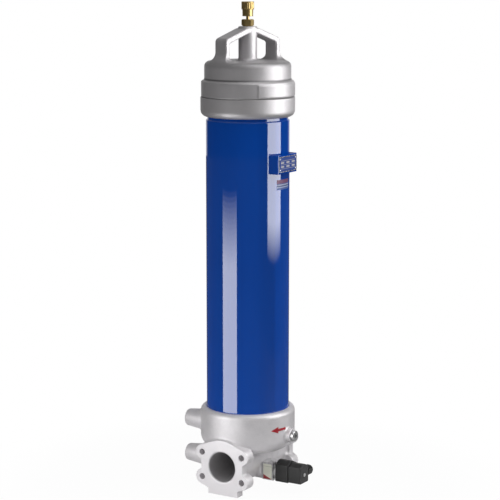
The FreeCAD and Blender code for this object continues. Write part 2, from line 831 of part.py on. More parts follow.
def element_pleats():
    height = V(0, 0, top_cap_height - medium_low)
    outside = star(pleat_outer_radius, pleat_inner_radius + pleat_sheet).extrude(height)
    inside = star(pleat_outer_radius - pleat_sheet, pleat_inner_radius).extrude(height)
    return outside.cut(inside)


def element_wrap():
    return tube_shape(wrap_radius, wrap_radius - wrap_wall, medium_low, top_cap_height)


def bail_ears():
    high = top_cap_height + cap_thickness
    ears = []
    for side in (-1, 1):
        y = side * (ear_outer_reach - ear_plate_thickness / 2)
        rounding = ear_plate_width / 2
        outline = [(-rounding, high - 1, 0), (rounding, high - 1, 0),
                   (rounding, bail_height + rounding, rounding - 0.01),
                   (-rounding, bail_height + rounding, rounding - 0.01)]
        ear = prism(outline, lambda p: V(p.x, y - ear_plate_thickness / 2, p.y), V(0, ear_plate_thickness, 0))
        hole = Part.makeCylinder(bail_pin_radius + running_gap, ear_plate_thickness + 2,
                                 V(0, y - ear_plate_thickness / 2 - 1, bail_height), y_axis)
        ears.append(ear.cut(hole))
    return ears


def element_top_cap():
    high = top_cap_height + cap_thickness
    outline = cap_disc(top_cap_height, False)
    outline += sharp((bypass_seat_radius, high), (bypass_seat_radius, top_cap_height))
    return turned(outline).fuse(bail_ears())


def element_bail():
    """Wire handle lying flat, its pins turned inwards through the ears."""
    half = bail_wire_radius
    flat = half * math.tan(math.pi / 8)
    section = [(half, -flat), (half, flat), (flat, half), (-flat, half),
               (-half, flat), (-half, -flat), (-flat, -half), (flat, -half)]
    corners = sharp(*[(bail_radius + a, bail_height + b) for a, b in section])
    face = Part.Face(rounded_wire(corners, lambda p: V(0, -p.x, p.y)))
    arch = face.revolve(origin, z_axis, 180)
    pin_inner = ear_outer_reach - ear_plate_thickness - 1
    pins = []
    for side in (-1, 1):
        start = V(0, side * pin_inner, bail_height)
        pins.append(Part.makeCylinder(bail_pin_radius, bail_radius - pin_inner, start, y_axis * side))
    return arch.fuse(pins)


def bypass_floor():
    """Height of the cage floor's upper side, where the spring stands."""
    return top_cap_height - moving_gap - poppet_thickness - spring_length


def bypass_cage():
    top = top_cap_height
    low = bypass_floor() - cage_floor
    inner = cage_radius - cage_wall
    ring = tube_shape(cage_radius, inner, top - cage_ring_height, top)
    floor = tube_shape(cage_radius, poppet_stem_radius + running_gap, low, low + cage_floor)
    wall = tube_shape(cage_radius, inner, low + cage_floor - 1, top - cage_ring_height + 1)
    leg_blocks = []
    for index in range(cage_leg_count):
        leg = block((0, -cage_leg_width / 2, low), (cage_radius + 1, cage_leg_width / 2, top))
        leg.rotate(origin, z_axis, 360 / cage_leg_count * index)
        leg_blocks.append(leg)
    legs = wall.common(leg_blocks[0].fuse(leg_blocks[1:]))
    return ring.fuse([floor, legs])


def bypass_poppet():
    top = top_cap_height - moving_gap
    low = top - poppet_thickness
    stem_bottom = bypass_floor() - cage_floor + 1
    return turned([(0, stem_bottom, 0), (poppet_stem_radius, stem_bottom, 0), (poppet_stem_radius, low, 0),
                   (poppet_radius, low, 0), (poppet_radius, top, -poppet_edge), (0, top, 0)])


def bypass_spring():
    low = bypass_floor()
    return coil(spring_radius, spring_wire, low, low + spring_length, spring_turns)


# Cover

def handle_outline_height(reach):
    """Height of the arms' upper edge at a distance from the hub's axis."""
    fall = (handle_arm_height - handle_corner_height) / (handle_reach - hub_radius)
    return handle_arm_height - fall * (reach - hub_radius)


def handle_side_limit(half):
    """Bar along X as wide as the handle, widening where the legs stand on the dome."""
    floor = dome_top - handle_foot_sink
    root = dome_top - dome_rounding
    wide = half + handle_side_flare + 1
    high = hub_top
    corners = [(-wide, root, 0), (-wide, floor, 0), (-half, floor, handle_side_flare), (-half, high, 0),
               (half, high, 0), (half, floor, handle_side_flare), (wide, floor, 0), (wide, root, 0)]
    return prism(corners, lambda p: V(-dome_radius, p.x, p.y), V(2 * dome_radius, 0, 0))


def handle_foot_limit(half):
    """Body of revolution that holds the handle, its cone running on from the dome's rounding."""
    reach = math.hypot(handle_reach, half)
    bend = slope_foot_height + slope_foot_radius - reach
    return turned([(0, dome_top - dome_rounding, 0), (slope_foot_radius, dome_top - dome_rounding, 0),
                   (slope_foot_radius, slope_foot_height, 0), (reach, bend, handle_flare_rounding),
                   (reach, hub_top, 0), (0, hub_top, 0)])


def handle_strap():
    """Flat arch in the XZ plane, with a window each side of the hub, before it is turned."""
    root = dome_top - dome_rounding
    floor = dome_top - handle_foot_sink
    half = handle_width / 2
    wide = half + handle_side_flare + 1
    slope_sum = slope_foot_radius + slope_foot_height + handle_slope_cover
    bend = slope_sum - handle_reach
    foot = slope_sum - root
    hub_cover = hub_radius - handle_edge_rounding
    corners = [(-foot, root, 0), (-handle_reach, bend, handle_flare_rounding),
               (-handle_reach, handle_corner_height, handle_corner_rounding),
               (-hub_cover, handle_outline_height(hub_cover), 0),
               (hub_cover, handle_outline_height(hub_cover), 0),
               (handle_reach, handle_corner_height, handle_corner_rounding),
               (handle_reach, bend, handle_flare_rounding), (foot, root, 0)]
    place = lambda p: V(p.x, -wide, p.y)
    strap = prism(corners, place, V(0, 2 * wide, 0))
    leg_inner = handle_reach - handle_leg_thickness
    windows = []
    window_corner = handle_outline_height(leg_inner) - handle_arm_thickness
    window_top = handle_outline_height(0) - handle_arm_thickness
    for side in (-1, 1):
        window = [(0, floor, 0), (side * leg_inner, floor, handle_foot_rounding),
                  (side * leg_inner, window_corner, handle_window_rounding), (0, window_top, 0)]
        windows.append(prism(window, place, V(0, 2 * wide, 0)))
    strap = strap.cut(windows).common(handle_side_limit(half))
    rims = junction_edges(strap, lambda x, y, z: abs(abs(y) - half) < 0.01 and z > dome_top + 1)
    return strap.makeFillet(handle_edge_rounding, rims).common(handle_foot_limit(half))


def cover_casting():
    shell = turned([(0, cover_rim, 0), (cover_radius, cover_rim, -rim_edge),
                    (cover_radius, cover_step_height, cover_step_rounding),
                    (dome_radius, dome_step_height, dome_step_rounding),
                    (dome_radius, dome_top, dome_rounding),
                    (hub_radius, dome_top, hub_foot_rounding), (hub_radius, hub_top, -hub_edge),
                    (0, hub_top, 0)])
    skirt = Part.makeCylinder(skirt_radius, skirt_length + 1, V(0, 0, skirt_bottom), z_axis)
    strap = handle_strap()
    strap.rotate(origin, z_axis, handle_turn)
    tablet = raised_tablet()
    outside = shell.fuse([skirt, strap, tablet])
    ceiling = dome_top - cover_crown
    hollow = turned([(0, skirt_bottom - 1, 0), (skirt_inner_radius, skirt_bottom - 1, 0),
                     (skirt_inner_radius, ceiling, -crown_chamfer), (0, ceiling, 0)])
    groove_half = cover_oring_radius + oring_side_gap / 2
    groove_floor = skirt_radius - 2 * cover_oring_radius - moving_gap
    groove = tube_shape(skirt_radius + 1, groove_floor, oring_groove_height - groove_half,
                        oring_groove_height + groove_half)
    passage = Part.makeCylinder(vent_passage_radius, hub_top - ceiling, V(0, 0, ceiling - 1), z_axis)
    vent_hole = Part.makeCylinder(vent_thread_radius + slip_gap, vent_thread_depth + 1,
                                  V(0, 0, hub_top - vent_thread_depth), z_axis)
    return outside.cut([hollow, groove, passage, vent_hole])


def raised_tablet():
    """Blank raised panel on the cover's side."""
    inside = cover_radius - 2 * tablet_thickness
    outside = cover_radius + tablet_thickness
    corners = [(inside, tablet_bottom, 0), (outside, tablet_bottom + tablet_slope, 0),
               (outside, tablet_top - tablet_slope, 0), (inside, tablet_top, 0)]
    face = Part.Face(rounded_wire(corners, lambda p: V(-p.x, 0, p.y)))
    face.rotate(origin, z_axis, tablet_start_angle)
    return face.revolve(origin, z_axis, tablet_end_angle - tablet_start_angle)


def cover_oring():
    return oring(skirt_radius - 2 * cover_oring_radius, skirt_radius, oring_groove_height)


# Bleed valve

def vent_body():
    seat = hub_top + vent_seal_thickness
    corner_radius = vent_hex_flats / math.sqrt(3)
    low_radius = vent_hex_flats / 2
    hexagonal = hexagon(vent_hex_flats, V(0, 0, seat), z_axis, x_axis, vent_body_top - seat)
    bevel = corner_radius - low_radius
    envelope = turned([(0, seat, 0), (corner_radius, seat, -bevel),
                       (corner_radius, vent_body_top, -bevel), (0, vent_body_top, 0)])
    shank = Part.makeCylinder(vent_thread_radius, vent_thread_depth - 1 + vent_seal_thickness,
                              V(0, 0, hub_top - vent_thread_depth + 1), z_axis)
    bore_bottom = vent_needle_tip + vent_needle_taper / 2
    stem_bore = Part.makeCylinder(vent_stem_radius + running_gap, vent_body_top - bore_bottom + 1,
                                  V(0, 0, bore_bottom), z_axis)
    passage = Part.makeCylinder(vent_passage_radius, vent_thread_depth,
                                V(0, 0, hub_top - vent_thread_depth), z_axis)
    return hexagonal.common(envelope).fuse(shank).cut([stem_bore, passage])


def vent_seal():
    return tube_shape(vent_hex_flats / 2 - vent_seal_inset, vent_thread_radius + 2 * slip_gap, hub_top,
                      hub_top + vent_seal_thickness)


def vent_needle():
    tip = vent_needle_tip + vent_needle_taper / 2 + moving_gap
    point_radius = vent_passage_radius - moving_gap
    point = tip - vent_needle_taper
    top = vent_sleeve_top
    return turned(sharp((0, point), (point_radius / 2, point), (point_radius, tip), (vent_stem_radius, tip),
                        (vent_stem_radius, top), (0, top)))


def vent_knob():
    neck = vent_sleeve_top
    body = turned([(0, vent_knob_bottom, 0), (vent_sleeve_radius, vent_knob_bottom, -vent_knob_edge),
                   (vent_sleeve_radius, neck, 0), (vent_cap_radius, neck, 0),
                   (vent_cap_radius, vent_knob_top, -vent_knob_edge), (0, vent_knob_top, 0)])
    bore = Part.makeCylinder(vent_stem_radius + running_gap, neck + moving_gap - vent_knob_bottom + 1,
                             V(0, 0, vent_knob_bottom - 1), z_axis)
    grips = []
    for index in range(vent_grip_count):
        angle = 2 * math.pi * index / vent_grip_count
        reach = vent_cap_radius + vent_grip_radius / 2
        start = V(reach * math.cos(angle), reach * math.sin(angle), neck + vent_grip_start)
        grips.append(Part.makeCylinder(vent_grip_radius, vent_knob_top - neck, start, z_axis))
    return body.cut([bore] + grips)


# Indicator, reaching along -Y

front = y_axis * -1
indicator_centre = V(0, 0, indicator_height)


def square_block(side, low, high, rounding):
    """Square bar along -Y round the indicator's axis, with rounded long edges."""
    half = side / 2
    corners = [(a * half, b * half, rounding) for a, b in ((-1, -1), (1, -1), (1, 1), (-1, 1))]
    return prism(corners, lambda p: V(p.x, -low, indicator_height + p.y), front * (high - low))


def roofed_block(side, rise, low, high, rounding):
    """Square bar along -Y with a shallow gable on its upper side."""
    half = side / 2
    corners = [(-half, -half, rounding), (half, -half, rounding), (half, half, rounding / 2),
               (roof_flat / 2, half + rise, rounding / 2), (-roof_flat / 2, half + rise, rounding / 2),
               (-half, half, rounding / 2)]
    return prism(corners, lambda p: V(p.x, -low, indicator_height + p.y), front * (high - low))


def round_along_front(outer, inner, low, high):
    return tube_shape(outer, inner, low, high, indicator_centre, front, x_axis)


def rod_along_front(radius, low, high):
    return Part.makeCylinder(radius, high - low, indicator_centre + front * low, front)


def indicator_body():
    body = square_block(indicator_side, indicator_seat, indicator_front, indicator_edge_rounding)
    nose = rod_along_front(indicator_nose_radius, nose_end, indicator_seat)
    bore_end = piston_end + piston_spring_length + piston_travel + moving_gap
    bore = rod_along_front(indicator_bore_radius, nose_end - 1, bore_end)
    return body.fuse(nose).cut(bore)


def indicator_seal():
    outer = indicator_nose_radius + indicator_seal_width
    return round_along_front(outer, indicator_nose_radius + slip_gap, indicator_boss_face, indicator_seat)


def indicator_piston():
    return rod_along_front(indicator_bore_radius - running_gap, piston_start, piston_end)


def indicator_spring():
    spring = coil(piston_spring_radius, piston_spring_wire, 0, piston_spring_length, piston_spring_turns)
    spring.rotate(origin, x_axis, 90)
    spring.translate(indicator_centre + front * piston_end)
    return spring


def indicator_label():
    half = indicator_side / 2 - label_margin
    low = indicator_seat + label_margin
    high = indicator_front - label_margin
    x = -indicator_side / 2
    return block((x - label_thickness, -high, indicator_height - half), (x, -low, indicator_height + half))


def indicator_ring():
    return round_along_front(ring_nut_radius, ring_nut_bore, indicator_front, ring_nut_front)


def switch_housing():
    body = roofed_block(switch_side, switch_roof_rise, ring_nut_front, switch_front, switch_edge_rounding)
    rims = junction_edges(body, lambda x, y, z: abs(y + switch_front) < 0.01)
    return body.makeFillet(front_rounding, rims)


def connector_gasket():
    side = connector_side - 2 * gasket_inset
    return square_block(side, switch_front, connector_start, connector_edge_rounding)


def connector_housing():
    body = roofed_block(connector_side, connector_roof_rise, connector_start, connector_front,
                        connector_edge_rounding)
    rims = junction_edges(body, lambda x, y, z: abs(y + connector_front) < 0.01)
    body = body.makeFillet(front_rounding, rims)
    neck_start = V(gland_start - moving_gap, -gland_offset, indicator_height)
    neck = Part.makeCylinder(gland_neck_radius, gland_neck_end - neck_start.x, neck_start, x_axis)
    bore = Part.makeCylinder(gland_insert_radius + slip_gap, gland_neck_end, neck_start, x_axis)
    screw_seat = rod_along_front(connector_screw_radius + slip_gap, connector_front - connector_screw_depth,
                                 connector_front + 1)
    return body.fuse(neck).cut([bore, screw_seat])


def connector_screw():
    top = connector_front + connector_screw_rise
    screw = rod_along_front(connector_screw_radius, connector_front - connector_screw_depth, top)
    half = screw_slot_width / 2
    reach = connector_screw_radius + 1
    slot = block((-half, -top - 1, indicator_height - reach),
                 (half, -connector_front, indicator_height + reach))
    return screw.cut(slot)


def gland_nut():
    start = V(gland_neck_end, -gland_offset, indicator_height)
    flats_length = gland_nut_length - gland_dome_length
    nut = hexagon(gland_nut_flats, start, x_axis, z_axis, flats_length)
    dome_radius_low = gland_nut_flats / 2
    dome = turned([(0, flats_length, 0), (dome_radius_low, flats_length, 0),
                   (dome_radius_low - gland_dome_taper, gland_nut_length, -gland_dome_edge),
                   (0, gland_nut_length, 0)], start, x_axis, z_axis)
    bore = Part.makeCylinder(gland_insert_radius + slip_gap, gland_insert_end - gland_neck_end, start, x_axis)
    mouth = Part.makeCylinder(gland_bore_radius, gland_nut_length, start, x_axis)
    return nut.fuse(dome).cut([bore, mouth])


def gland_insert():
    start = V(gland_start, -gland_offset, indicator_height)
    length = gland_insert_end - gland_start
    return tube_shape(gland_insert_radius, gland_bore_radius, 0, length, start, x_axis, z_axis)


side_plug_face = V(0, -side_boss_face, side_plug_height)
drain_plug_face = V(pocket_offset, 0, drain_boss_face)
down = z_axis * -1

save("head_casting", head_casting())
save("flow_arrow", flow_arrow())
save("side_plug", plug(side_plug_face, front, x_axis))
save("side_plug_seal", plug_seal(side_plug_face, front, x_axis))
save("drain_plug", plug(drain_plug_face, down, x_axis))
save("drain_plug_seal", plug_seal(drain_plug_face, down, x_axis))
save("outlet_spigot", outlet_spigot())
save("filter_tube", filter_tube())
save("tube_oring", shaft_oring(tube_radius, tube_oring_radius, tube_oring_height))
save("tube_end_ring", tube_end_ring())
save("end_ring_oring", shaft_oring(neck_radius, end_oring_radius, end_oring_height))
save("nameplate_bracket", nameplate_bracket())
save("nameplate", nameplate())
save("nameplate_rivets", nameplate_rivets())
save("info_sticker", info_sticker())
save("element_bottom_cap", element_bottom_cap())
save("element_oring", element_oring())
save("element_core", element_core())
save("element_pleats", element_pleats())
save("element_wrap", element_wrap())
save("element_top_cap", element_top_cap())
save("element_bail", element_bail())
save("bypass_cage", bypass_cage())
save("bypass_poppet", bypass_poppet())
save("bypass_spring", bypass_spring())
save("cover_casting", cover_casting())
save("cover_oring", cover_oring())
save("vent_body", vent_body())
save("vent_seal", vent_seal())
save("vent_needle", vent_needle())
save("vent_knob", vent_knob())
save("indicator_body", indicator_body())
save("indicator_seal", indicator_seal())
save("indicator_piston", indicator_piston())
save("indicator_spring", indicator_spring())
save("indicator_label", indicator_label())
save("indicator_ring", indicator_ring())
save("switch_housing", switch_housing())
save("connector_gasket", connector_gasket())
save("connector_housing", connector_housing())
save("connector_screw", connector_screw())
save("gland_nut", gland_nut())
save("gland_insert", gland_insert())
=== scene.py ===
import math

import bmesh
import bpy
import numpy as np
from mathutils import Matrix, Vector


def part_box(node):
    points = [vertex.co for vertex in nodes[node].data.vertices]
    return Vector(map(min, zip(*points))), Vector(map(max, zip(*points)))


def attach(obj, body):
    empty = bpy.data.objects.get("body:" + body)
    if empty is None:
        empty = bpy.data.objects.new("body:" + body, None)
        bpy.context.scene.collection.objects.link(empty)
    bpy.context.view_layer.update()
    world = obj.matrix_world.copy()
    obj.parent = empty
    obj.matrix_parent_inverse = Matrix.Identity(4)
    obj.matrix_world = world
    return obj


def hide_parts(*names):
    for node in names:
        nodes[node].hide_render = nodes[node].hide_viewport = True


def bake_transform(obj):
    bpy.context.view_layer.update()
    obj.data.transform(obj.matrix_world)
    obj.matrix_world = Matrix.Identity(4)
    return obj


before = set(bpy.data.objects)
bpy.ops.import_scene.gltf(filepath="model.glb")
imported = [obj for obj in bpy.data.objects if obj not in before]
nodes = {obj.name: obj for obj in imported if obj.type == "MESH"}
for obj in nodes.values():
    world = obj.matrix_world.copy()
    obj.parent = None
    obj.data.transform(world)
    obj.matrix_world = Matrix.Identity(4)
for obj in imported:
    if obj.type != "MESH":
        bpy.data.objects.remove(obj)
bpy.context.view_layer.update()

scene = bpy.context.scene
mm = 0.001
hair = 1e-6                     # points closer than this are one
portHeight = 48.5 * mm
coverRim = 666.2 * mm           # where the cover meets its ring
view = {
    "place": (-2.5147, -1.5529, 0.9035),
    "heading": (0.851, 0.5255),
    "yaw": -0.0716,
    "pitch": -9.54,
    "lens": 127.98,
    "sensor": 36.0,
    "farthest": 20,
}
photoHeading = Vector((*view["heading"], 0)).normalized()
facets = {                      # how finely the round pieces are divided
    "lathe": 64, "hole": 48, "ring": 160, "domeSegments": 20, "domeRings": 10,
    "coilSteps": 40, "wireSides": 12, "cornerSteps": 6, "floor": 64,
}


def signed(operation, turned=False):       # what one of Python's signs does to sockets
    def result(self, other):
        pair = (other, self) if turned else (self, other)
        return self.sum(operation, *pair)
    return result


class Value:                    # a socket that Python's own signs work on
    def __init__(self, graph, socket):
        self.graph = graph
        self.socket = socket

    def sum(self, operation, *values):
        return self.graph.node("ShaderNodeMath", {"operation": operation}, values)

    __add__ = signed("ADD")
    __radd__ = signed("ADD", turned=True)
    __sub__ = signed("SUBTRACT")
    __rsub__ = signed("SUBTRACT", turned=True)
    __mul__ = signed("MULTIPLY")
    __truediv__ = signed("DIVIDE")
    __pow__ = signed("POWER")
    __mod__ = signed("MODULO")
    __gt__ = signed("GREATER_THAN")
    __lt__ = signed("LESS_THAN")

    def __abs__(self):
        return self.sum("ABSOLUTE", self)


class Graph:                    # a node tree and the one way its nodes are made
    def feed(self, target, value):
        if isinstance(value, Value):
            self.tree.links.new(value.socket, target)
        else:
            target.default_value = value

    def node(self, kind, settings, inputs, output=0):
        made = self.tree.nodes.new(kind)
        for name, value in settings.items():
            setattr(made, name, value)
        pairs = inputs.items() if isinstance(inputs, dict) else enumerate(inputs)
        for name, value in pairs:
            self.feed(made.inputs[name], value)
        return Value(self, made.outputs[output])

    def sine(self, value):
        return value.sum("SINE", value)

    def cosine(self, value):
        return value.sum("COSINE", value)

    def floor(self, value):
        return value.sum("FLOOR", value)


class Finish(Graph):            # one material
    def __init__(self, name, **constants):
        self.material = bpy.data.materials.new(name)
        self.material.use_nodes = True
        self.tree = self.material.node_tree
        self.shader = self.tree.nodes["Principled BSDF"]
        for socket, value in constants.items():
            self.set(socket, value)

    def set(self, socket, value):
        self.feed(self.shader.inputs[socket.replace("_", " ")], value)

    def place(self):
        return self.node("ShaderNodeTexCoord", {}, [], "Object")

    def axes(self):
        place = self.place()
        return [self.node("ShaderNodeSeparateXYZ", {}, [place], axis) for axis in range(3)]

    def noise(self, scale, detail=2.0, roughness=0.5):
        inputs = {"Vector": self.place(), "Scale": scale, "Detail": detail, "Roughness": roughness}
        return self.node("ShaderNodeTexNoise", {}, inputs)

    def clamped(self, value):
        return self.node("ShaderNodeClamp", {}, [value])

    def mix(self, factor, first, second):
        return self.node("ShaderNodeMix", {"data_type": "RGBA"}, {0: factor, 6: first, 7: second}, 2)

    def end(self, colour, roughness, height, distance):
        self.set("Base_Color", colour)
        self.set("Roughness", roughness)
        inputs = {"Height": height, "Distance": distance, "Strength": 1.0}
        self.set("Normal", self.node("ShaderNodeBump", {}, inputs))
        return self.material


class Shape(Graph):             # a geometry tree with named sizes
    def __init__(self, name):
        self.tree = bpy.data.node_groups.new(name, "GeometryNodeTree")
        self.tree.interface.new_socket("Geometry", in_out="OUTPUT", socket_type="NodeSocketGeometry")
        self.start = self.tree.nodes.new("NodeGroupInput")
        self.sizes = {}
        self.outline = self.size("Outline", "NodeSocketGeometry")
        self.finish = self.size("Finish", "NodeSocketMaterial")

    def size(self, name, kind="NodeSocketFloat"):
        socket = self.tree.interface.new_socket(name, in_out="INPUT", socket_type=kind)
        self.sizes[name] = socket.identifier
        return Value(self, self.start.outputs[name])

    def end(self, geometry):
        real = self.node("GeometryNodeRealizeInstances", {}, [geometry])
        dressed = self.node("GeometryNodeSetMaterial", {}, {"Geometry": real, "Material": self.finish})
        out = self.tree.nodes.new("NodeGroupOutput")
        self.tree.links.new(dressed.socket, out.inputs[0])


def grey(level, tint=0.0):
    return (level * (1 + tint), level, level * (1 - tint), 1.0)


def castGrey(level):            # cast aluminium leans a little to red and blue
    return (level * 1.012, level * 0.985, level * 1.008, 1.0)


castPattern = {                 # shared by both castings: scales of the noise, and what each share stirs
    "cloudScale": 38.0, "pitScale": 0.37, "pitRoughness": 0.16, "pitHeight": 0.7, "cloudMetal": 0.1,
    "passageMetal": 0.7, "ringRoughness": 0.03, "ringHeight": 0.08, "faceHeight": 0.95,
}


def castFinish(name, look):
    finish = Finish(name, Roughness=look["roughness"], Metallic=look["metallic"])
    pattern = castPattern
    cloud = finish.noise(pattern["cloudScale"], 3.0, 0.6)
    grain = finish.noise(look["grainScale"], 3.0, 0.65)
    pits = finish.noise(look["grainScale"] * pattern["pitScale"], 2.0, 0.5)
    x, y, z = finish.axes()
    spread = (cloud - 0.5) * look["cloud"] + (grain - 0.5) * look["speckle"] + 0.5
    spread = finish.clamped(spread)
    colour = finish.mix(spread, look["dark"], look["light"])
    roughness = look["roughness"] + (pits - 0.5) * pattern["pitRoughness"]
    metallic = look["metallic"] + (cloud - 0.5) * pattern["cloudMetal"]
    height = grain + pits * pattern["pitHeight"]
    if "machined" in look:
        face = abs(x) > look["machined"]
        turned = (y * y + (z - portHeight) * (z - portHeight)) ** 0.5
        rings = finish.sine(turned * look["ringScale"])
        # painted shade: inside the outlet passage the colour goes near black and reflects less, standing in
        # for the shade in the bore
        inside = finish.clamped((look["passage"] - turned) / look["passageFade"])
        inside = inside * (abs(x) < look["passageStart"])
        colour = finish.mix(face, colour, look["machinedColour"])
        colour = finish.mix(inside, colour, look["passageShade"])
        metallic = metallic * (1 - inside * pattern["passageMetal"])
        polish = look["machinedRoughness"] + rings * pattern["ringRoughness"]
        roughness = roughness * (1 - face) + face * polish
        height = height * (1 - face * pattern["faceHeight"]) + face * rings * pattern["ringHeight"]
    for level, reach, depth in look.get("creases", ()):      # painted shade: the colour darkens in bands where a step meets a face, standing in for the shade that gathers there
        creaseShade = finish.clamped(1 - abs(z - level) / reach) * depth
        colour = finish.mix(creaseShade, colour, look["creaseShade"])
    finish.set("Metallic", metallic)
    return finish.end(colour, roughness, height, look["grainDepth"])


def plainFinish(name, look):
    finish = Finish(name, Roughness=look["roughness"], Metallic=look.get("metallic", 0.0))
    for socket, value in look.get("constants", {}).items():
        finish.set(socket, value)
    grain = finish.noise(look["grainScale"], 2.0)
    cloud = finish.noise(look.get("cloudScale", 55.0), 3.0)
    colour = finish.mix(cloud, look["dark"], look["light"])
    roughness = look["roughness"] + (cloud - 0.5) * look.get("uneven", 0.08)
    return finish.end(colour, roughness, grain, look["grainDepth"])


turnedPattern = {"cloudScale": 60.0, "wanderScale": 220.0, "wanderRoughness": 0.14, "markRoughness": 0.02,
                 "markHeight": 0.4}


def turnedFinish(name, look):       # lathe marks along one of the axes
    finish = Finish(name, Roughness=look["roughness"], Metallic=look.get("metallic", 1.0))
    pattern = turnedPattern
    along = finish.axes()[look["axis"]]
    marks = finish.sine(along * look["markScale"])
    wander = finish.noise(pattern["wanderScale"], 2.0)
    cloud = finish.noise(pattern["cloudScale"], 2.0)
    colour = finish.mix(cloud, look["dark"], look["light"])
    uneven = (wander - 0.5) * pattern["wanderRoughness"] + marks * pattern["markRoughness"]
    height = marks * pattern["markHeight"] + wander
    return finish.end(colour, look["roughness"] + uneven, height, look["markDepth"])


paintPattern = {"cloudScale": 7.0, "peelRoughness": 0.4, "fineScale": 6.0, "fineRoughness": 0.06,
                "fineHeight": 0.06}


def paintFinish(name, look):
    finish = Finish(name, Roughness=look["roughness"], Specular_IOR_Level=look["baseGloss"], Coat_Weight=1.0,
                    Coat_Roughness=look["coatRoughness"], Coat_IOR=look["coatIor"])
    pattern = paintPattern
    cloud = finish.noise(pattern["cloudScale"], 2.0)
    peel = finish.noise(look["peelScale"], 2.0, pattern["peelRoughness"])
    fine = finish.noise(look["peelScale"] * pattern["fineScale"], 2.0, pattern["peelRoughness"])
    colour = finish.mix(cloud, look["dark"], look["light"])
    roughness = look["roughness"] + (fine - 0.5) * pattern["fineRoughness"]
    return finish.end(colour, roughness, peel + fine * pattern["fineHeight"], look["peelDepth"])


bandPattern = {"cloudScale": 140.0, "cloudShare": 0.12, "uneven": 0.1, "grainScale": 900.0,
               "grainDepth": 0.01 * mm}


def bandFinish(name, look):         # printed bands, each from its height upwards; soft grain over all
    finish = Finish(name, Roughness=look["roughness"], Coat_Weight=look.get("coat", 0.3))
    pattern = bandPattern
    x, y, z = finish.axes()
    colour = look["ground"]
    for height, shade in look["bands"]:
        colour = finish.mix(z > height, colour, shade)
    if "wedge" in look:
        corner, slope, shade = look["wedge"]
        colour = finish.mix((z - corner.z) < (y - corner.y) * slope, colour, shade)
    cloud = finish.noise(pattern["cloudScale"], 2.0)
    colour = finish.mix(cloud * pattern["cloudShare"], colour, grey(0.9))
    roughness = look["roughness"] + (cloud - 0.5) * pattern["uneven"]
    return finish.end(colour, roughness, finish.noise(pattern["grainScale"], 2.0), pattern["grainDepth"])


headLook = {
    "dark": castGrey(0.60), "light": castGrey(0.86),
    "roughness": 0.5, "metallic": 0.35, "cloud": 0.9, "speckle": 0.9,
    "grainScale": 1150.0, "grainDepth": 0.00013,
    "machined": 0.08385, "machinedColour": castGrey(0.82), "machinedRoughness": 0.33, "ringScale": 9000.0,
    # passageShade is the painted shade deep in the outlet passage
    "passage": 0.0258, "passageFade": 0.0008, "passageShade": castGrey(0.055), "passageStart": 0.0836,
}
coverLook = {
    # creaseShade and creases are painted shade: bands darkened where the cover's steps meet, each crease a
    # height, a half width and a depth
    "dark": castGrey(0.52), "light": castGrey(0.68), "creaseShade": castGrey(0.08),
    "creases": [(coverRim, 1.3 * mm, 0.5), (695.3 * mm, 2.4 * mm, 0.8), (722.5 * mm, 9 * mm, 0.35)],
    "roughness": 0.5, "metallic": 0.6, "cloud": 0.7, "speckle": 0.8,
    "grainScale": 1300.0, "grainDepth": 0.00008,
}
paintLook = {
    "dark": (0.001, 0.069, 0.44, 1.0), "light": (0.002, 0.085, 0.52, 1.0),
    "roughness": 0.5, "baseGloss": 0.0, "coatRoughness": 0.035, "coatIor": 1.9,
    "peelScale": 90.0, "peelDepth": 0.00003,
}
castHead = castFinish("castHead", headLook)
castCover = castFinish("castCover", coverLook)
bluePaint = paintFinish("bluePaint", paintLook)
redPaint = plainFinish("redPaint", {
    "dark": (0.42, 0.002, 0.012, 1.0), "light": (0.52, 0.004, 0.018, 1.0), "roughness": 0.5,
    "grainScale": 700.0, "grainDepth": 0.00003, "constants": {"Coat_Weight": 0.1}})
turnedAluminium = turnedFinish("turnedAluminium", {
    "dark": grey(0.66), "light": grey(0.80), "roughness": 0.28, "axis": 1, "markScale": 12000.0,
    "markDepth": 0.00001})
brass = turnedFinish("brass", {
    "dark": (0.52, 0.36, 0.12, 1.0), "light": (0.76, 0.57, 0.27, 1.0), "roughness": 0.31, "axis": 2,
    "metallic": 0.86, "markScale": 11000.0, "markDepth": 0.00002})
zincSteel = plainFinish("zincSteel", {
    "dark": grey(0.50), "light": grey(0.72), "roughness": 0.34, "metallic": 1.0, "grainScale": 800.0,
    "grainDepth": 0.00002})
springSteel = plainFinish("springSteel", {
    "dark": grey(0.30), "light": grey(0.46), "roughness": 0.36, "metallic": 1.0, "grainScale": 900.0,
    "grainDepth": 0.00002})
blackPlastic = plainFinish("blackPlastic", {
    "dark": grey(0.010), "light": grey(0.020), "roughness": 0.42, "grainScale": 1500.0, "grainDepth": 0.00005,
    "uneven": 0.14})
rubber = plainFinish("rubber", {
    "dark": grey(0.012), "light": grey(0.022), "roughness": 0.62, "grainScale": 900.0, "grainDepth": 0.00004})
filterMedium = plainFinish("filterMedium", {
    "dark": grey(0.66, 0.05), "light": grey(0.82, 0.04), "roughness": 0.85, "grainScale": 700.0,
    "grainDepth": 0.0001})
filterWrap = plainFinish("filterWrap", {
    "dark": grey(0.62, 0.02), "light": grey(0.78, 0.02), "roughness": 0.7, "grainScale": 500.0,
    "grainDepth": 0.00012})
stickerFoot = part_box("info_sticker")[0].z
stickerFilm = bandFinish("stickerFilm", {
    "roughness": 0.5, "coat": 0.05, "ground": (0.02, 0.09, 0.40, 1.0),
    "bands": [(stickerFoot + 3.2 * mm, (0.50, 0.60, 0.80, 1.0)),
              (stickerFoot + 4.8 * mm, (0.01, 0.05, 0.26, 1.0)),
              (stickerFoot + 7.0 * mm, (0.55, 0.62, 0.80, 1.0)),
              (stickerFoot + 8.8 * mm, (0.02, 0.06, 0.32, 1.0)),
              (stickerFoot + 10.5 * mm, (0.17, 0.02, 0.12, 1.0))]})
labelGround = (0.84, 0.85, 0.72, 1.0)
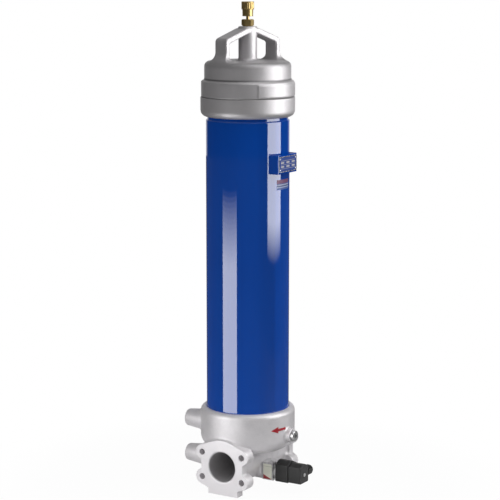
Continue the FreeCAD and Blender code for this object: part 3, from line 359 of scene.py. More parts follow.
labelFilm = bandFinish("labelFilm", {
    "roughness": 0.5, "ground": labelGround,
    "wedge": (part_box("indicator_label")[0], 0.45, (0.42, 0.02, 0.025, 1.0)),
    "bands": [(40.0 * mm, (0.52, 0.55, 0.44, 1.0)), (40.8 * mm, labelGround)]})
plateBlue = plainFinish("plateBlue", {
    "dark": (0.015, 0.055, 0.30, 1.0), "light": (0.022, 0.075, 0.36, 1.0), "roughness": 0.36,
    "grainScale": 900.0, "grainDepth": 0.00002, "constants": {"Coat_Weight": 0.4}})
plateSilver = plainFinish("plateSilver", {
    "dark": grey(0.50, 0.02), "light": grey(0.68, 0.02), "roughness": 0.4, "metallic": 0.3,
    "grainScale": 1200.0, "grainDepth": 0.00002})
print("finishes made")


def newObject(name, mesh, material):
    made = bpy.data.objects.new(name, mesh)
    scene.collection.objects.link(made)
    mesh.materials.clear()
    mesh.materials.append(material)
    return made


def meshOf(work, name):
    mesh = bpy.data.meshes.new(name)
    work.to_mesh(mesh)
    work.free()
    return mesh


def cleaned(mesh):              # merged doubles, outward faces
    work = bmesh.new()
    work.from_mesh(mesh)
    bmesh.ops.remove_doubles(work, verts=work.verts, dist=hair)
    bmesh.ops.recalc_face_normals(work, faces=work.faces)
    work.to_mesh(mesh)
    work.free()
    return mesh


def evaluated(source, name):
    graph = bpy.context.evaluated_depsgraph_get()
    mesh = bpy.data.meshes.new_from_object(source.evaluated_get(graph))
    mesh.name = name
    return mesh


def smoothByAngle(mesh, degrees):
    mesh.shade_smooth()
    mesh.set_sharp_from_angle(angle=math.radians(degrees))


def around(radius, angle, height):
    return radius * math.cos(angle), radius * math.sin(angle), height


def latheMesh(name, profile, start, direction, segments=facets["lathe"]):     # closed solid of revolution
    work = bmesh.new()
    previous = None
    for radius, along in profile:
        ring = [work.verts.new(around(radius, math.tau * i / segments, along)) for i in range(segments)]
        if previous:
            for i in range(segments):
                j = (i + 1) % segments
                work.faces.new((previous[i], previous[j], ring[j], ring[i]))
        else:
            work.faces.new(list(reversed(ring)))
        previous = ring
    work.faces.new(previous)
    turn = Vector(direction).to_track_quat("Z", "Y").to_matrix().to_4x4()
    work.transform(Matrix.Translation(start) @ turn)
    bmesh.ops.recalc_face_normals(work, faces=work.faces)
    return meshOf(work, name)


def ringMesh(name, profile, segments=facets["ring"]):      # closed solid whose section doesn't reach the axis
    work = bmesh.new()
    columns = [[work.verts.new(around(radius, math.tau * i / segments, height)) for radius, height in profile]
               for i in range(segments)]
    for i in range(segments):
        here, after = columns[i], columns[(i + 1) % segments]
        for k in range(len(profile)):
            m = (k + 1) % len(profile)
            work.faces.new((here[k], after[k], after[m], here[m]))
    bmesh.ops.recalc_face_normals(work, faces=work.faces)
    return meshOf(work, name)


def joined(name, meshes):
    work = bmesh.new()
    for mesh in meshes:
        work.from_mesh(mesh)
    return meshOf(work, name)


def voxelMesh(name, mesh, size):
    holder = newObject(name + "Source", mesh, castHead)
    remesh = holder.modifiers.new("remesh", "REMESH")
    remesh.mode = "VOXEL"
    remesh.voxel_size = size
    made = evaluated(holder, name)
    bpy.data.objects.remove(holder)
    return made


def read(items, name, width, kind=np.int64):
    found = np.empty(len(items) * width, dtype=kind)
    items.foreach_get(name, found)
    return found


# hollow corners fill to a fillet, outer ones wear to a small round
def castRounding(mesh, look, keep):
    count = len(mesh.vertices)
    points = read(mesh.vertices, "co", 3, float).reshape(-1, 3)
    edges = read(mesh.edges, "vertices", 2).reshape(-1, 2)
    quads = read(mesh.loops, "vertex_index", 1).reshape(-1, 4)
    ends = np.concatenate((edges[:, 0], edges[:, 1]))
    others = np.concatenate((edges[:, 1], edges[:, 0]))
    valence = np.maximum(np.bincount(ends, minlength=count), 1)[:, None]
    held = keep(points)
    step = look["voxel"]
    hollowLimit = step * step / (4 * look["hollowRadius"])
    outerLimit = step * step / (4 * look["outerRadius"])
    for turn in range(look["passes"]):
        diagonalA = points[quads[:, 2]] - points[quads[:, 0]]
        diagonalB = points[quads[:, 3]] - points[quads[:, 1]]
        faceNormals = np.cross(diagonalA, diagonalB)
        normals = np.zeros((count, 3))
        for corner in range(4):
            for axis in range(3):
                normals[:, axis] += np.bincount(quads[:, corner], faceNormals[:, axis], count)
        normals /= np.maximum(np.linalg.norm(normals, axis=1), 1e-20)[:, None]
        nearby = np.stack([np.bincount(ends, points[others, axis], count) for axis in range(3)], axis=1)
        pull = nearby / valence - points
        height = np.einsum("ij,ij->i", pull, normals)
        push = np.where(height > hollowLimit, height - hollowLimit, 0.0)
        push += np.where(height < -outerLimit, height + outerLimit, 0.0)
        push[held] = 0.0
        slide = pull - normals * height[:, None]
        slide[held] = 0.0
        points = points + normals * push[:, None] * look["pace"] + slide * look["slide"]
    mesh.vertices.foreach_set("co", points.ravel())
    mesh.update()


def cutAway(target, tool, name, solver):
    cut = target.modifiers.new("cut", "BOOLEAN")
    cut.operation = "DIFFERENCE"
    cut.solver = solver
    cut.object = tool
    mesh = evaluated(target, name)
    target.modifiers.clear()
    target.data = mesh
    bpy.data.objects.remove(tool)


def cutWith(target, cutters, name):
    tool = newObject(name + "Cutter", joined(name + "Cutter", cutters), castHead)
    cutAway(target, tool, name, "MANIFOLD")


headSize = {
    "voxel": 1.4 * mm, "hollowRadius": 6.0 * mm, "outerRadius": 1.3 * mm, "passes": 90, "pace": 0.7,
    "slide": 0.25,
    "flangeFace": 84 * mm, "boltSpacingY": 77.8 * mm, "boltSpacingZ": 42.9 * mm, "boltRadius": 5.22 * mm,
    "inletBoltRadius": 5.06 * mm, "boltDepth": 20.5 * mm, "holeChamfer": 0.5 * mm, "holeSpare": 1 * mm,
    "boreRadius": 25.5 * mm, "boreMargin": 2.2 * mm, "faceMargin": 0.6 * mm, "cavityRadius": 73 * mm,
    "cavityFloor": 79 * mm, "spigotRadius": 40 * mm, "spigotFoot": 70 * mm, "bossFace": 96 * mm,
    "bossSpacingX": 74 * mm, "bossLow": 51 * mm, "bossSpacingZ": 61.5 * mm, "bossDepth": 22 * mm,
    "plugSpare": 0.3 * mm, "smooth": 40,
}


def headHoles(size):            # mouth, direction inwards, depth and radius of each bolt hole
    for side in (-1, 1):
        for y in (-0.5, 0.5):
            for z in (-0.5, 0.5):
                mouth = (side * size["flangeFace"], y * size["boltSpacingY"],
                         portHeight + z * size["boltSpacingZ"])
                radius = size["inletBoltRadius"] if side > 0 else size["boltRadius"]
                yield Vector(mouth), Vector((-side, 0, 0)), size["boltDepth"], radius
    for x in (-0.5, 0.5):
        for z in (0, 1):
            mouth = (x * size["bossSpacingX"], size["bossFace"], size["bossLow"] + z * size["bossSpacingZ"])
            yield Vector(mouth), Vector((0, -1, 0)), size["bossDepth"], size["boltRadius"]


def holePlug(mouth, inwards, depth, radius, size):
    wide = radius + size["plugSpare"] + size["holeChamfer"]
    return latheMesh("plug", [(wide, 0), (wide, depth)], mouth, inwards)


def holeCutter(mouth, inwards, depth, radius, size):
    chamfer = size["holeChamfer"]
    spare = size["holeSpare"]
    profile = [(radius + chamfer + spare, -spare), (radius, chamfer), (radius, depth)]
    return latheMesh("cutter", profile, mouth, inwards, facets["hole"])


def headKept(points):           # machined faces and everything inside
    size = headSize
    x, y, z = points.T
    fromPort = np.hypot(y, z - portHeight)
    fromTube = np.hypot(x, y)
    kept = np.abs(x) > size["flangeFace"] - size["faceMargin"]
    kept |= y > size["bossFace"] - size["faceMargin"]
    kept |= z < size["faceMargin"]
    kept |= fromPort < size["boreRadius"] + size["boreMargin"]
    kept |= (fromTube < size["cavityRadius"]) & (z > size["cavityFloor"])
    kept |= (fromTube < size["spigotRadius"]) & (z > size["spigotFoot"])
    return kept


def makeHead():
    size = headSize
    source = cleaned(nodes["head_casting"].data.copy())
    plugs = [holePlug(*hole, size) for hole in headHoles(size)]
    mesh = voxelMesh("headCasting", joined("headSource", [source] + plugs), size["voxel"])
    castRounding(mesh, size, headKept)
    head = newObject("headCasting", mesh, castHead)
    cutWith(head, [holeCutter(*hole, size) for hole in headHoles(size)], "headCasting")
    smoothByAngle(head.data, size["smooth"])
    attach(head, "housing")
    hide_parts("head_casting")
    print("head casting:", len(head.data.polygons), "faces")


makeHead()


coverSize = {
    "voxel": 1.2 * mm, "hollowRadius": 3.8 * mm, "outerRadius": 1.2 * mm, "passes": 80, "pace": 0.7,
    "slide": 0.25,
    "hollowTop": 716 * mm, "hollowRadiusInside": 64 * mm, "hubTop": 781 * mm, "smooth": 40,
}


def coverKept(points):
    size = coverSize
    x, y, z = points.T
    fromAxis = np.hypot(x, y)
    kept = z < coverRim
    kept |= (fromAxis < size["hollowRadiusInside"]) & (z < size["hollowTop"])
    kept |= z > size["hubTop"]
    return kept


def makeCover():
    source = cleaned(nodes["cover_casting"].data.copy())
    mesh = voxelMesh("coverCasting", source, coverSize["voxel"])
    castRounding(mesh, coverSize, coverKept)
    cover = newObject("coverCasting", mesh, castCover)
    smoothByAngle(cover.data, coverSize["smooth"])
    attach(cover, "cover")
    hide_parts("cover_casting")
    print("cover casting:", len(cover.data.polygons), "faces")
    return cover


castCoverPiece = makeCover()


# a closed outline turned round the Z axis: each point's X is its radius, Z its height,
# and Y how much of the flutes and thread is cut there, below zero for an inside thread
def turnedTree():
    shape = Shape("turnedPiece")
    segments = shape.size("Segments", "NodeSocketInt")
    flutes = shape.size("Flutes")
    fluteDepth = shape.size("Flute Depth")
    pitch = shape.size("Thread Pitch")
    threadDepth = shape.size("Thread Depth")
    count = shape.node("GeometryNodeAttributeDomainSize", {"component": "MESH"}, [shape.outline])
    rows = count + 1
    grid = shape.node("GeometryNodeMeshGrid", {}, {"Vertices X": segments + 1, "Vertices Y": rows})
    index = shape.node("GeometryNodeInputIndex", {}, [])
    column = shape.floor((index + 0.5) / rows)
    row = (index - column * rows) % count
    place = shape.node("GeometryNodeInputPosition", {}, [])
    corner = shape.node("GeometryNodeSampleIndex", {"data_type": "FLOAT_VECTOR"},
                        {"Geometry": shape.outline, "Value": place, "Index": row})
    radius, worked, height = [shape.node("ShaderNodeSeparateXYZ", {}, [corner], axis) for axis in range(3)]
    angle = column / segments * math.tau
    flute = (shape.cosine(angle * flutes) * 0.5 + 0.5) * fluteDepth
    phase = (height / pitch - column / segments + 1000) % 1
    thread = abs(phase - 0.5) * 2 * threadDepth
    radius = radius - worked * (flute + thread)
    spot = shape.node("ShaderNodeCombineXYZ", {},
                      [radius * shape.cosine(angle), radius * shape.sine(angle), height])
    turned = shape.node("GeometryNodeSetPosition", {}, {"Geometry": grid, "Position": spot})
    shape.end(shape.node("GeometryNodeMergeByDistance", {}, {"Geometry": turned, "Distance": hair / 10}))
    return shape


# points that carry one small dome each, flattened along Y
def domeTree():
    shape = Shape("domeHeads")
    radius = shape.size("Radius")
    flat = shape.size("Flatness")
    dome = shape.node("GeometryNodeMeshUVSphere", {}, {"Segments": facets["domeSegments"],
                                                       "Rings": facets["domeRings"], "Radius": radius})
    scale = shape.node("ShaderNodeCombineXYZ", {}, [1.0, flat, 1.0])
    heads = shape.node("GeometryNodeInstanceOnPoints", {},
                       {"Points": shape.outline, "Instance": dome, "Scale": scale})
    shape.end(heads)
    return shape


# bars of one size, one on each point
def barTree():
    shape = Shape("evenBars")
    size = [shape.size(name) for name in ("Width", "Depth", "Height")]
    whole = shape.node("ShaderNodeCombineXYZ", {}, size)
    bar = shape.node("GeometryNodeMeshCube", {}, {"Size": whole})
    shape.end(shape.node("GeometryNodeInstanceOnPoints", {}, {"Points": shape.outline, "Instance": bar}))
    return shape


# a round wire wound up the Z axis from the origin
def coilTree():
    shape = Shape("windings")
    radius = shape.size("Radius")
    wire = shape.size("Wire Radius")
    length = shape.size("Length")
    turns = shape.size("Turns")
    path = shape.node("GeometryNodeCurveSpiral", {},
                      {"Resolution": facets["coilSteps"], "Rotations": turns, "Start Radius": radius,
                       "End Radius": radius, "Height": length})
    section = shape.node("GeometryNodeCurvePrimitiveCircle", {},
                         {"Resolution": facets["wireSides"], "Radius": wire})
    shape.end(shape.node("GeometryNodeCurveToMesh", {},
                         {"Curve": path, "Profile Curve": section, "Fill Caps": True}))
    return shape


turning = turnedTree()
doming = domeTree()
barring = barTree()
winding = coilTree()


def grown(name, shape, points, sizes, material, faces=()):     # a tree's result as a plain mesh object
    mesh = bpy.data.meshes.new(name)
    mesh.from_pydata(points, [], faces)
    piece = newObject(name, mesh, material)
    grow = piece.modifiers.new("grow", "NODES")
    grow.node_group = shape.tree
    grow[shape.sizes["Finish"]] = material
    for label, value in sizes.items():
        grow[shape.sizes[label]] = value
    made = cleaned(evaluated(piece, name))
    piece.modifiers.clear()
    piece.data = made
    return piece


def settled(piece, body, replaced=()):
    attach(piece, body)
    if replaced:
        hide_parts(*replaced)
    print(piece.name, len(piece.data.polygons), "faces")
    return piece


def rounded(corners, steps=5):          # corners of radius, height, rounding and how much the pattern cuts
    points = []
    for index, (radius, height, rounding, worked) in enumerate(corners):
        corner = Vector((radius, height))
        if rounding == 0:
            points.append((radius, worked, height))
            continue
        before = (Vector(corners[index - 1][:2]) - corner).normalized()
        after = (Vector(corners[(index + 1) % len(corners)][:2]) - corner).normalized()
        half = before.angle(after) / 2
        run = rounding / math.tan(half)
        centre = corner + (before + after).normalized() * (rounding / math.sin(half))
        first = corner + before * run - centre
        last = corner + after * run - centre
        sweep = first.angle(last)
        for step in range(steps + 1):
            share = step / steps
            spoke = first * math.sin(sweep * (1 - share)) + last * math.sin(sweep * share)
            spot = centre + spoke / math.sin(sweep)
            points.append((spot.x, worked, spot.y))
    return points


def plain(*corners):                    # corners without rounding or pattern
    return [(radius, height, 0, 0) for radius, height in corners]


def turnedPiece(name, corners, look, material, body, replaced, place=None):
    sizes = {"Segments": look["segments"], "Flutes": float(look.get("flutes", 1)),
             "Flute Depth": look.get("fluteDepth", 0.0), "Thread Pitch": look.get("pitch", 1.0),
             "Thread Depth": look.get("threadDepth", 0.0)}
    piece = grown(name, turning, rounded(corners), sizes, material)
    if place:
        piece.data.transform(place)
    smoothByAngle(piece.data, look.get("smooth", 35))
    return settled(piece, body, replaced)


tubeSize = {
    "segments": 192, "wall": 4 * mm, "neckStep": 2.35 * mm, "neckLength": 15.8 * mm,
    "shoulder": 1.8 * mm, "edge": 0.9 * mm, "hold": 0.8 * mm, "foot": 0.5 * mm,
}


def makeTube():
    size = tubeSize
    low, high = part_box("filter_tube")
    radius = high.x
    neck = radius - size["neckStep"]
    shoulder = high.z - size["neckLength"]
    inner = radius - size["wall"]
    neckInner = neck - size["wall"]
    corners = plain((inner, low.z), (radius - size["foot"], low.z), (radius, low.z + size["foot"]),
                    (radius, low.z + size["foot"] + size["hold"]), (radius, shoulder - 2 * size["hold"]))
    corners += [(radius, shoulder, size["edge"], 0), (neck, shoulder + size["shoulder"], size["edge"], 0)]
    corners += plain((neck, shoulder + size["shoulder"] + 2 * size["hold"]), (neck, high.z),
                     (neckInner, high.z), (neckInner, shoulder - size["wall"]),
                     (inner, shoulder - size["wall"] - size["shoulder"]))
    turnedPiece("filterTube", corners, size, bluePaint, "housing", ["filter_tube"])


makeTube()

ringSize = {
    "segments": 160, "boreRadius": 67.6 * mm, "belly": 10.8 * mm, "rim": 0.7 * mm, "hold": 1.2 * mm,
    "threadRadius": 69.0 * mm, "lipRadius": 63.5 * mm, "neckTop": 10.0 * mm, "lip": 2.0 * mm,
    "pitch": 4.0 * mm, "threadDepth": 1.1 * mm, "threadStep": 0.5 * mm, "threadRunOut": 2.0 * mm,
}


def threadRows(radius, start, end, step, worked):      # rows close enough to show the thread
    count = max(2, round(abs(end - start) / step))
    return [(radius, start + (end - start) * i / count, 0, worked) for i in range(count + 1)]


def makeEndRing():
    size = ringSize
    low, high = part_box("tube_end_ring")
    radius = high.x
    lipTop = low.z + size["neckTop"] + size["lip"]
    neckTop = low.z + size["neckTop"]
    corners = plain((size["boreRadius"], low.z))
    corners += [(radius, low.z, size["belly"], 0)]
    corners += plain((radius, low.z + size["belly"] + size["hold"]),
                     (radius, high.z - size["rim"] - size["hold"]))
    corners += [(radius, high.z, size["rim"], 0)]
    corners += plain((size["threadRadius"] + size["rim"], high.z),
                     (size["threadRadius"], high.z - size["rim"]))
    corners += threadRows(size["threadRadius"], high.z - size["threadRunOut"], lipTop + size["threadRunOut"],
                          size["threadStep"], -1)
    corners += plain((size["threadRadius"], lipTop), (size["lipRadius"], lipTop),
                     (size["lipRadius"], neckTop), (size["boreRadius"], neckTop))
    turnedPiece("tubeEndRing", corners, size, castCover, "housing", ["tube_end_ring"])


makeEndRing()

skirtSize = {
    "segments": 160, "rimGap": 0.6 * mm, "radius": 68.7 * mm, "bed": 67.4 * mm, "foot": 66.9 * mm,
    "grooveTop": 6.4 * mm, "length": 19.8 * mm, "pitch": 4.0 * mm, "threadDepth": 1.1 * mm,
    "threadStep": 0.4 * mm, "runOut": 1.0 * mm, "cutSpare": 1.0 * mm, "tuck": 0.01 * mm, "smooth": 30,
}


def makeSkirtThread(cover):         # a band is cut from the skirt and the threaded ring takes its place
    size = skirtSize
    high = coverRim - size["rimGap"]
    low = coverRim - size["length"] + size["grooveTop"]
    outside = size["radius"] + size["cutSpare"]
    cutter = ringMesh("skirtBand", [(outside, low), (outside, high), (size["bed"], high), (size["bed"], low)])
    cutWith(cover, [cutter], "skirtBand")
    smoothByAngle(cover.data, coverSize["smooth"])
    foot = low + size["tuck"]
    top = high - size["tuck"]
    corners = plain((size["foot"], foot), (size["bed"], foot), (size["radius"], low + size["runOut"] / 2))
    corners += threadRows(size["radius"], low + size["runOut"], high - size["runOut"], size["threadStep"], 1)
    corners += plain((size["radius"], high - size["runOut"] / 2), (size["bed"], top), (size["foot"], top))
    turnedPiece("skirtThread", corners, size, castCover, "cover", [])


springs = {                     # tilt turns the coil's axis from Z to Y
    "bypass_spring": {"wire": 1.6 * mm, "turns": 5.0, "axis": 2, "tilt": 0, "smooth": 50},
    "indicator_spring": {"wire": 0.9 * mm, "turns": 4.0, "axis": 1, "tilt": -90, "smooth": 50},
}


def makeSpring(node):           # the coil with the centres of its low and high ends
    look = springs[node]
    low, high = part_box(node)
    axis = look["axis"]
    half = look["wire"] / 2
    spring = grown(node.replace("_spring", "Spring"), winding, [(0, 0, 0)],
                   {"Radius": (high.x - low.x) / 2 - half, "Wire Radius": half, "Turns": look["turns"],
                    "Length": high[axis] - low[axis] - look["wire"]}, springSteel)
    foot = (low + high) / 2
    head = foot.copy()
    foot[axis] = low[axis] + half
    head[axis] = high[axis] - half
    spring.data.transform(Matrix.Rotation(math.radians(look["tilt"]), 4, "X"))
    spring.data.transform(Matrix.Translation(foot))
    smoothByAngle(spring.data, look["smooth"])
    print(spring.name, len(spring.data.polygons), "faces")
    return spring, foot, head


def makeSprings():              # each coil is built in its part's place and fixed there
    spring, foot, head = makeSpring("bypass_spring")
    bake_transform(spring)
    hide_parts("bypass_spring")
    spring, foot, head = makeSpring("indicator_spring")
    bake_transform(spring)
    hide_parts("indicator_spring")


makeSkirtThread(castCoverPiece)
makeSprings()

knobSize = {
    "segments": 180, "flutes": 20, "fluteDepth": 0.75 * mm, "sleeveRadius": 8.9 * mm, "sleeveLength": 11 * mm,
    "stemRadius": 2.8 * mm, "edge": 0.7 * mm, "gap": 0.3 * mm, "fluteMargin": 1.3 * mm, "fluteEnd": 0.5 * mm,
    "grooveLift": 3.0 * mm, "grooveHeight": 1.0 * mm, "grooveDepth": 0.6 * mm,
}


def makeKnob():
    size = knobSize
    low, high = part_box("vent_knob")
    radius = high.x
    sleeve = size["sleeveRadius"]
    neck = low.z + size["sleeveLength"]
    groove = low.z + size["grooveLift"]
    inGroove = sleeve - size["grooveDepth"]
    grooveTop = groove + size["grooveHeight"]
    fluteLow = neck + size["fluteMargin"]
    fluteHigh = high.z - size["fluteMargin"]
    corners = plain((size["stemRadius"], low.z)) + [(sleeve, low.z, size["edge"], 0)]
    corners += plain((sleeve, groove), (inGroove, groove), (inGroove, grooveTop), (sleeve, grooveTop),
                     (sleeve, neck))
    corners += [(radius, neck, size["edge"], 0), (radius, fluteLow, 0, 0),
                (radius, fluteLow + size["fluteEnd"], 0, 1), (radius, fluteHigh - size["fluteEnd"], 0, 1),
                (radius, fluteHigh, 0, 0), (radius, high.z, size["edge"], 0)]
    corners += plain((0, high.z), (0, neck + size["gap"]), (size["stemRadius"], neck + size["gap"]))
    turnedPiece("ventKnob", corners, size, brass, "vent_knob", ["vent_knob"])


makeKnob()

plateSize = {
    "corner": 1.6 * mm, "frameWidth": 1.3 * mm, "relief": 0.25 * mm, "edge": 0.2 * mm,
    "rivetInset": 4.0 * mm, "rivetRadius": 1.5 * mm, "rivetFlatness": 0.5,
    "ruleWidth": 0.45 * mm, "ruleDepth": 0.3 * mm, "ruleMargin": 6.5 * mm,
    "rulePlaces": (-0.27, -0.02, 0.23),     # shares of the plate's height from its middle
    "barWidth": 9.5 * mm, "barHeight": 2.6 * mm, "barColumns": 3, "barRows": (-0.145, 0.105),
    "windowSpare": 3 * mm, "smooth": 35, "rivetSmooth": 60,
}


# upright plate with round corners and a broken front edge
def slab(name, low, high, corner, edge, material):
    work = bmesh.new()
    ring = []
    middle = (low + high) / 2
    steps = facets["cornerSteps"]
    for x, z, start in ((high.x, high.z, 0), (low.x, high.z, 90), (low.x, low.z, 180), (high.x, low.z, 270)):
        centreX = x + math.copysign(corner, middle.x - x)
        centreZ = z + math.copysign(corner, middle.z - z)
        for step in range(steps + 1):
            angle = math.radians(start + 90 * step / steps)
            ring.append(work.verts.new((centreX + corner * math.cos(angle), low.y,
                                        centreZ + corner * math.sin(angle))))
    front = work.faces.new(ring)
    raised = bmesh.ops.extrude_face_region(work, geom=[front])
    for item in raised["geom"]:
        if isinstance(item, bmesh.types.BMVert):
            item.co.y = high.y
    bmesh.ops.recalc_face_normals(work, faces=work.faces)
    rim = [side for side in work.edges if all(abs(end.co.y - low.y) < hair / 10 for end in side.verts)]
    bmesh.ops.bevel(work, geom=rim, offset=edge, segments=2, affect="EDGES")
    return newObject(name, meshOf(work, name), material)


def makeNameplate():
    size = plateSize
    low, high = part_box("nameplate")
    inset = Vector((size["frameWidth"], 0, size["frameWidth"]))
    relief = Vector((0, size["relief"], 0))
    spare = Vector((0, size["windowSpare"], 0))
    frameRim = slab("plateFrame", low, high, size["corner"], size["edge"], turnedAluminium)
    window = slab("plateWindow", low + inset - spare, high - inset + spare, size["corner"] / 2, size["edge"],
                  turnedAluminium)
    cutAway(frameRim, window, frameRim.name, "EXACT")
    smoothByAngle(frameRim.data, size["smooth"])
    settled(frameRim, "housing")
    face = slab("plateFace", low + inset + relief, high - inset, size["corner"] / 2, size["edge"] / 2,
                plateBlue)
    smoothByAngle(face.data, size["smooth"])
    settled(face, "housing", ["nameplate"])


def makePlateMarks():           # pale rules and fields instead of words, and the four rivets
    size = plateSize
    low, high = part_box("nameplate")
    middle = (low + high) / 2
    tall = high.z - low.z
    ruleLength = high.x - low.x - 2 * size["ruleMargin"]
    surface = low.y + size["relief"]
    rules = [(middle.x, surface, middle.z + share * tall) for share in size["rulePlaces"]]
    ruled = grown("plateRules", barring, rules,
                  {"Width": ruleLength, "Depth": size["ruleDepth"], "Height": size["ruleWidth"]}, plateSilver)
    settled(ruled, "housing")
    span = ruleLength - size["barWidth"]
    fields = []
    for share in size["barRows"]:
        for column in range(size["barColumns"]):
            across = middle.x - span / 2 + span * column / (size["barColumns"] - 1)
            fields.append((across, surface, middle.z + share * tall))
    bars = grown("plateFields", barring, fields,
                 {"Width": size["barWidth"], "Depth": size["ruleDepth"], "Height": size["barHeight"]},
                 plateSilver)
    settled(bars, "housing")
    inset = size["rivetInset"]
    rivets = [(x, surface, z) for x in (low.x + inset, high.x - inset)
              for z in (low.z + inset, high.z - inset)]
    heads = grown("plateRivets", doming, rivets,
                  {"Radius": size["rivetRadius"], "Flatness": size["rivetFlatness"]}, turnedAluminium)
    smoothByAngle(heads.data, size["rivetSmooth"])
    settled(heads, "housing", ["nameplate_rivets"])


makeNameplate()
makePlateMarks()
print("plate made")


def shadeTree(name, degrees):   # merges doubles and smooths all but sharp edges
    graph = Graph()
    graph.tree = bpy.data.node_groups.new(name, "GeometryNodeTree")
    sockets = graph.tree.interface
    sockets.new_socket("Geometry", in_out="INPUT", socket_type="NodeSocketGeometry")
    limit = sockets.new_socket("Edge Angle", in_out="INPUT", socket_type="NodeSocketFloat")
    limit.default_value = math.radians(degrees)
    sockets.new_socket("Geometry", in_out="OUTPUT", socket_type="NodeSocketGeometry")
    start = graph.tree.nodes.new("NodeGroupInput")
    geometry, angle = [Value(graph, start.outputs[place]) for place in range(2)]
    merged = graph.node("GeometryNodeMergeByDistance", {}, {"Geometry": geometry, "Distance": hair})
    smooth = graph.node("GeometryNodeSetShadeSmooth", {}, {"Geometry": merged})
    steepness = graph.node("GeometryNodeInputMeshEdgeAngle", {}, [], "Unsigned Angle")
    flat = graph.node("FunctionNodeCompare", {"data_type": "FLOAT", "operation": "LESS_THAN"},
                      [steepness, angle])
    shaded = graph.node("GeometryNodeSetShadeSmooth", {"domain": "EDGE"},
                        {"Geometry": smooth, "Shade Smooth": flat})
    out = graph.tree.nodes.new("NodeGroupOutput")
    graph.tree.links.new(shaded.socket, out.inputs[0])
    return graph.tree


keptShading = shadeTree("keptShading", 30)
keptFinishes = [
    (bluePaint, ["nameplate_bracket"]),
    (redPaint, ["flow_arrow"]),
    (turnedAluminium, ["indicator_body", "outlet_spigot"]),
    (brass, ["vent_body", "vent_needle"]),
    (zincSteel, ["side_plug", "drain_plug", "element_bottom_cap", "element_core", "element_top_cap",
                 "element_bail", "bypass_cage", "bypass_poppet", "indicator_piston", "indicator_ring",
                 "connector_screw"]),
    (blackPlastic, ["switch_housing", "connector_housing", "gland_nut"]),
    (rubber, ["side_plug_seal", "drain_plug_seal", "tube_oring", "end_ring_oring", "element_oring",
              "cover_oring", "vent_seal", "indicator_seal", "connector_gasket", "gland_insert"]),
    (filterMedium, ["element_pleats"]),
    (filterWrap, ["element_wrap"]),
    (stickerFilm, ["info_sticker"]),
    (labelFilm, ["indicator_label"]),
]
for material, names in keptFinishes:
    for name in names:
        kept = nodes[name]
        if not kept.material_slots:
            kept.data.materials.append(None)
        for place in kept.material_slots:
            place.link = "OBJECT"
            place.material = material
        shading = kept.modifiers.new("shading", "NODES")
        shading.node_group = keptShading
print("kept pieces finished")


studio = {                      # a box dims over its fade; its fill is the share that reaches dull surfaces
    "floorWhite": 0.85, "floorDark": 0.10, "floorRadius": 5.0, "floorNear": 0.2, "floorFar": 0.5,
    "floorShow": 0.96, "floorDrop": 0.2 * mm,
    "worldLight": 0.52, "studioDark": 0.022, "studioBright": 0.9, "studioTurn": (0.80, 0.98),
    "rightReach": 1.15, "rightSpan": (54.5, 100), "rightLow": 0.29, "rightHigh": 1.6,
    "rightRadiance": 4.3, "rightFade": -0.09, "rightFill": 0.55,
    "leftReach": 0.5, "leftSpan": (28.5, 69), "leftLow": 0.0, "leftHigh": 0.31,
    "leftRadiance": 3.9, "leftFade": 0.145, "leftFill": 0.56, "fadeSteps": 14,
    "topPlace": (-0.2, -0.7, 1.9), "topAim": (0, 0, 0.4), "topSize": 1.2, "topRadiance": 1.4,
}


def makeFloor():
    finish = Finish("floorPale", Roughness=0.9)
    away = finish.node("ShaderNodeVectorMath", {"operation": "LENGTH"}, [finish.place()], "Value")
    spread = finish.node("ShaderNodeMapRange", {"interpolation_type": "SMOOTHSTEP"},
                         {"Value": away, "From Min": studio["floorNear"], "From Max": studio["floorFar"]})
    finish.set("Base_Color", finish.mix(spread, grey(studio["floorWhite"]), grey(studio["floorDark"])))
    camera = finish.node("ShaderNodeLightPath", {}, [], "Is Camera Ray")
    share = studio["floorShow"] + spread * (1 - studio["floorShow"])
    surface = Value(finish, finish.shader.outputs[0])
    glow = finish.node("ShaderNodeEmission", {}, [])
    shown = finish.node("ShaderNodeMixShader", {}, [camera * share, surface, glow])
    finish.tree.links.new(shown.socket, finish.tree.nodes["Material Output"].inputs[0])
    radius = studio["floorRadius"]
    count = facets["floor"]
    mesh = bpy.data.meshes.new("floor")
    mesh.from_pydata([around(radius, math.tau * i / count, -studio["floorDrop"]) for i in range(count)], [],
                     [list(range(count))])
    newObject("floor", mesh, finish.material)


def makeWorld():                # pale to the camera, dark to reflections except behind the object
    world = bpy.data.worlds.new("studio")
    scene.world = world
    world.use_nodes = True
    graph = Graph()
    graph.tree = world.node_tree
    background = graph.tree.nodes["Background"]
    background.inputs[0].default_value = (1, 1, 1, 1)
    glossyRay, cameraRay, clearRay = [graph.node("ShaderNodeLightPath", {}, [], kind) for kind in
                                      ("Is Glossy Ray", "Is Camera Ray", "Is Transmission Ray")]
    place = graph.node("ShaderNodeTexCoord", {}, [], "Generated")
    turn = graph.node("ShaderNodeVectorMath", {"operation": "DOT_PRODUCT"}, [place, photoHeading], "Value")
    start, end = studio["studioTurn"]
    ramp = graph.node("ShaderNodeMapRange", {},
                      {"Value": turn, "From Min": start, "From Max": end,
                       "To Min": studio["studioDark"], "To Max": studio["studioBright"]})
    reflected = graph.node("ShaderNodeMix", {}, {0: glossyRay, 2: studio["worldLight"], 3: ramp})
    seen = cameraRay.sum("MAXIMUM", cameraRay, clearRay)
    strength = graph.node("ShaderNodeMix", {}, {0: seen, 2: reflected, 3: 1.0})
    graph.tree.links.new(strength.socket, background.inputs[1])


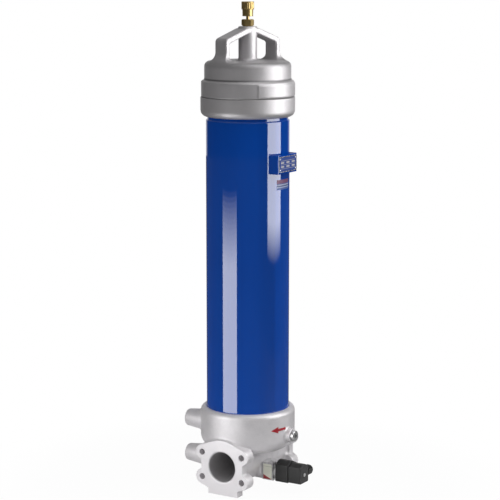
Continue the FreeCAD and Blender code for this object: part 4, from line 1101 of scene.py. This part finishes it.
def areaLight(name, place, aim, width, height, radiance):
    light = bpy.data.lights.new(name, "AREA")
    light.shape = "RECTANGLE"
    light.size = width
    light.size_y = height
    light.energy = radiance * math.pi * width * height
    lamp = bpy.data.objects.new(name, light)
    scene.collection.objects.link(lamp)
    lamp.location = place
    lamp.rotation_euler = (Vector(aim) - Vector(place)).to_track_quat("-Z", "Y").to_euler()
    lamp.visible_camera = False
    return lamp


def softbox(name, key, side):       # glossy-only parts that fade at one end, and one lamp for dull surfaces
    parts = ("Span", "Low", "High", "Reach", "Radiance")
    span, low, high, reach, radiance = [studio[key + part] for part in parts]
    across = Vector((photoHeading.y, -photoHeading.x, 0)) * side
    middle = math.radians(sum(span) / 2)
    towards = -photoHeading * math.cos(middle) + across * math.sin(middle)
    width = 2 * reach * math.tan(math.radians((span[1] - span[0]) / 2))

    def lampBetween(label, bottom, top, share):
        centre = towards * reach + Vector((0, 0, (bottom + top) / 2))
        return areaLight(label, centre, (0, 0, centre.z), width, top - bottom, radiance * share)

    step = studio[key + "Fade"] / studio["fadeSteps"]
    end = high if step > 0 else low
    lampBetween(name, low, high, 1.0).visible_diffuse = False
    for index in range(studio["fadeSteps"]):
        bottom, top = sorted((end + step * index, end + step * (index + 1)))
        share = 1 - (index + 0.5) / studio["fadeSteps"]
        lampBetween(name, bottom, top, share).visible_diffuse = False
    lampBetween(name + "Fill", low, high, studio[key + "Fill"]).visible_glossy = False


def makeCamera():
    camera = bpy.data.cameras.new("photoCamera")
    camera.lens = view["lens"]
    camera.sensor_width = view["sensor"]
    camera.clip_end = view["farthest"]
    holder = bpy.data.objects.new("photoCamera", camera)
    scene.collection.objects.link(holder)
    heading = photoHeading.copy()
    heading.rotate(Matrix.Rotation(math.radians(view["yaw"]), 3, "Z"))
    pitch = math.radians(view["pitch"])
    forward = Vector((heading.x * math.cos(pitch), heading.y * math.cos(pitch), math.sin(pitch)))
    holder.location = view["place"]
    holder.rotation_euler = forward.to_track_quat("-Z", "Y").to_euler()
    scene.camera = holder


makeFloor()
makeWorld()
softbox("rightBox", "right", 1)
softbox("leftBox", "left", -1)
areaLight("topBox", studio["topPlace"], studio["topAim"], studio["topSize"], studio["topSize"],
          studio["topRadiance"])
makeCamera()
scene.view_settings.view_transform = "Standard"
print("studio set")
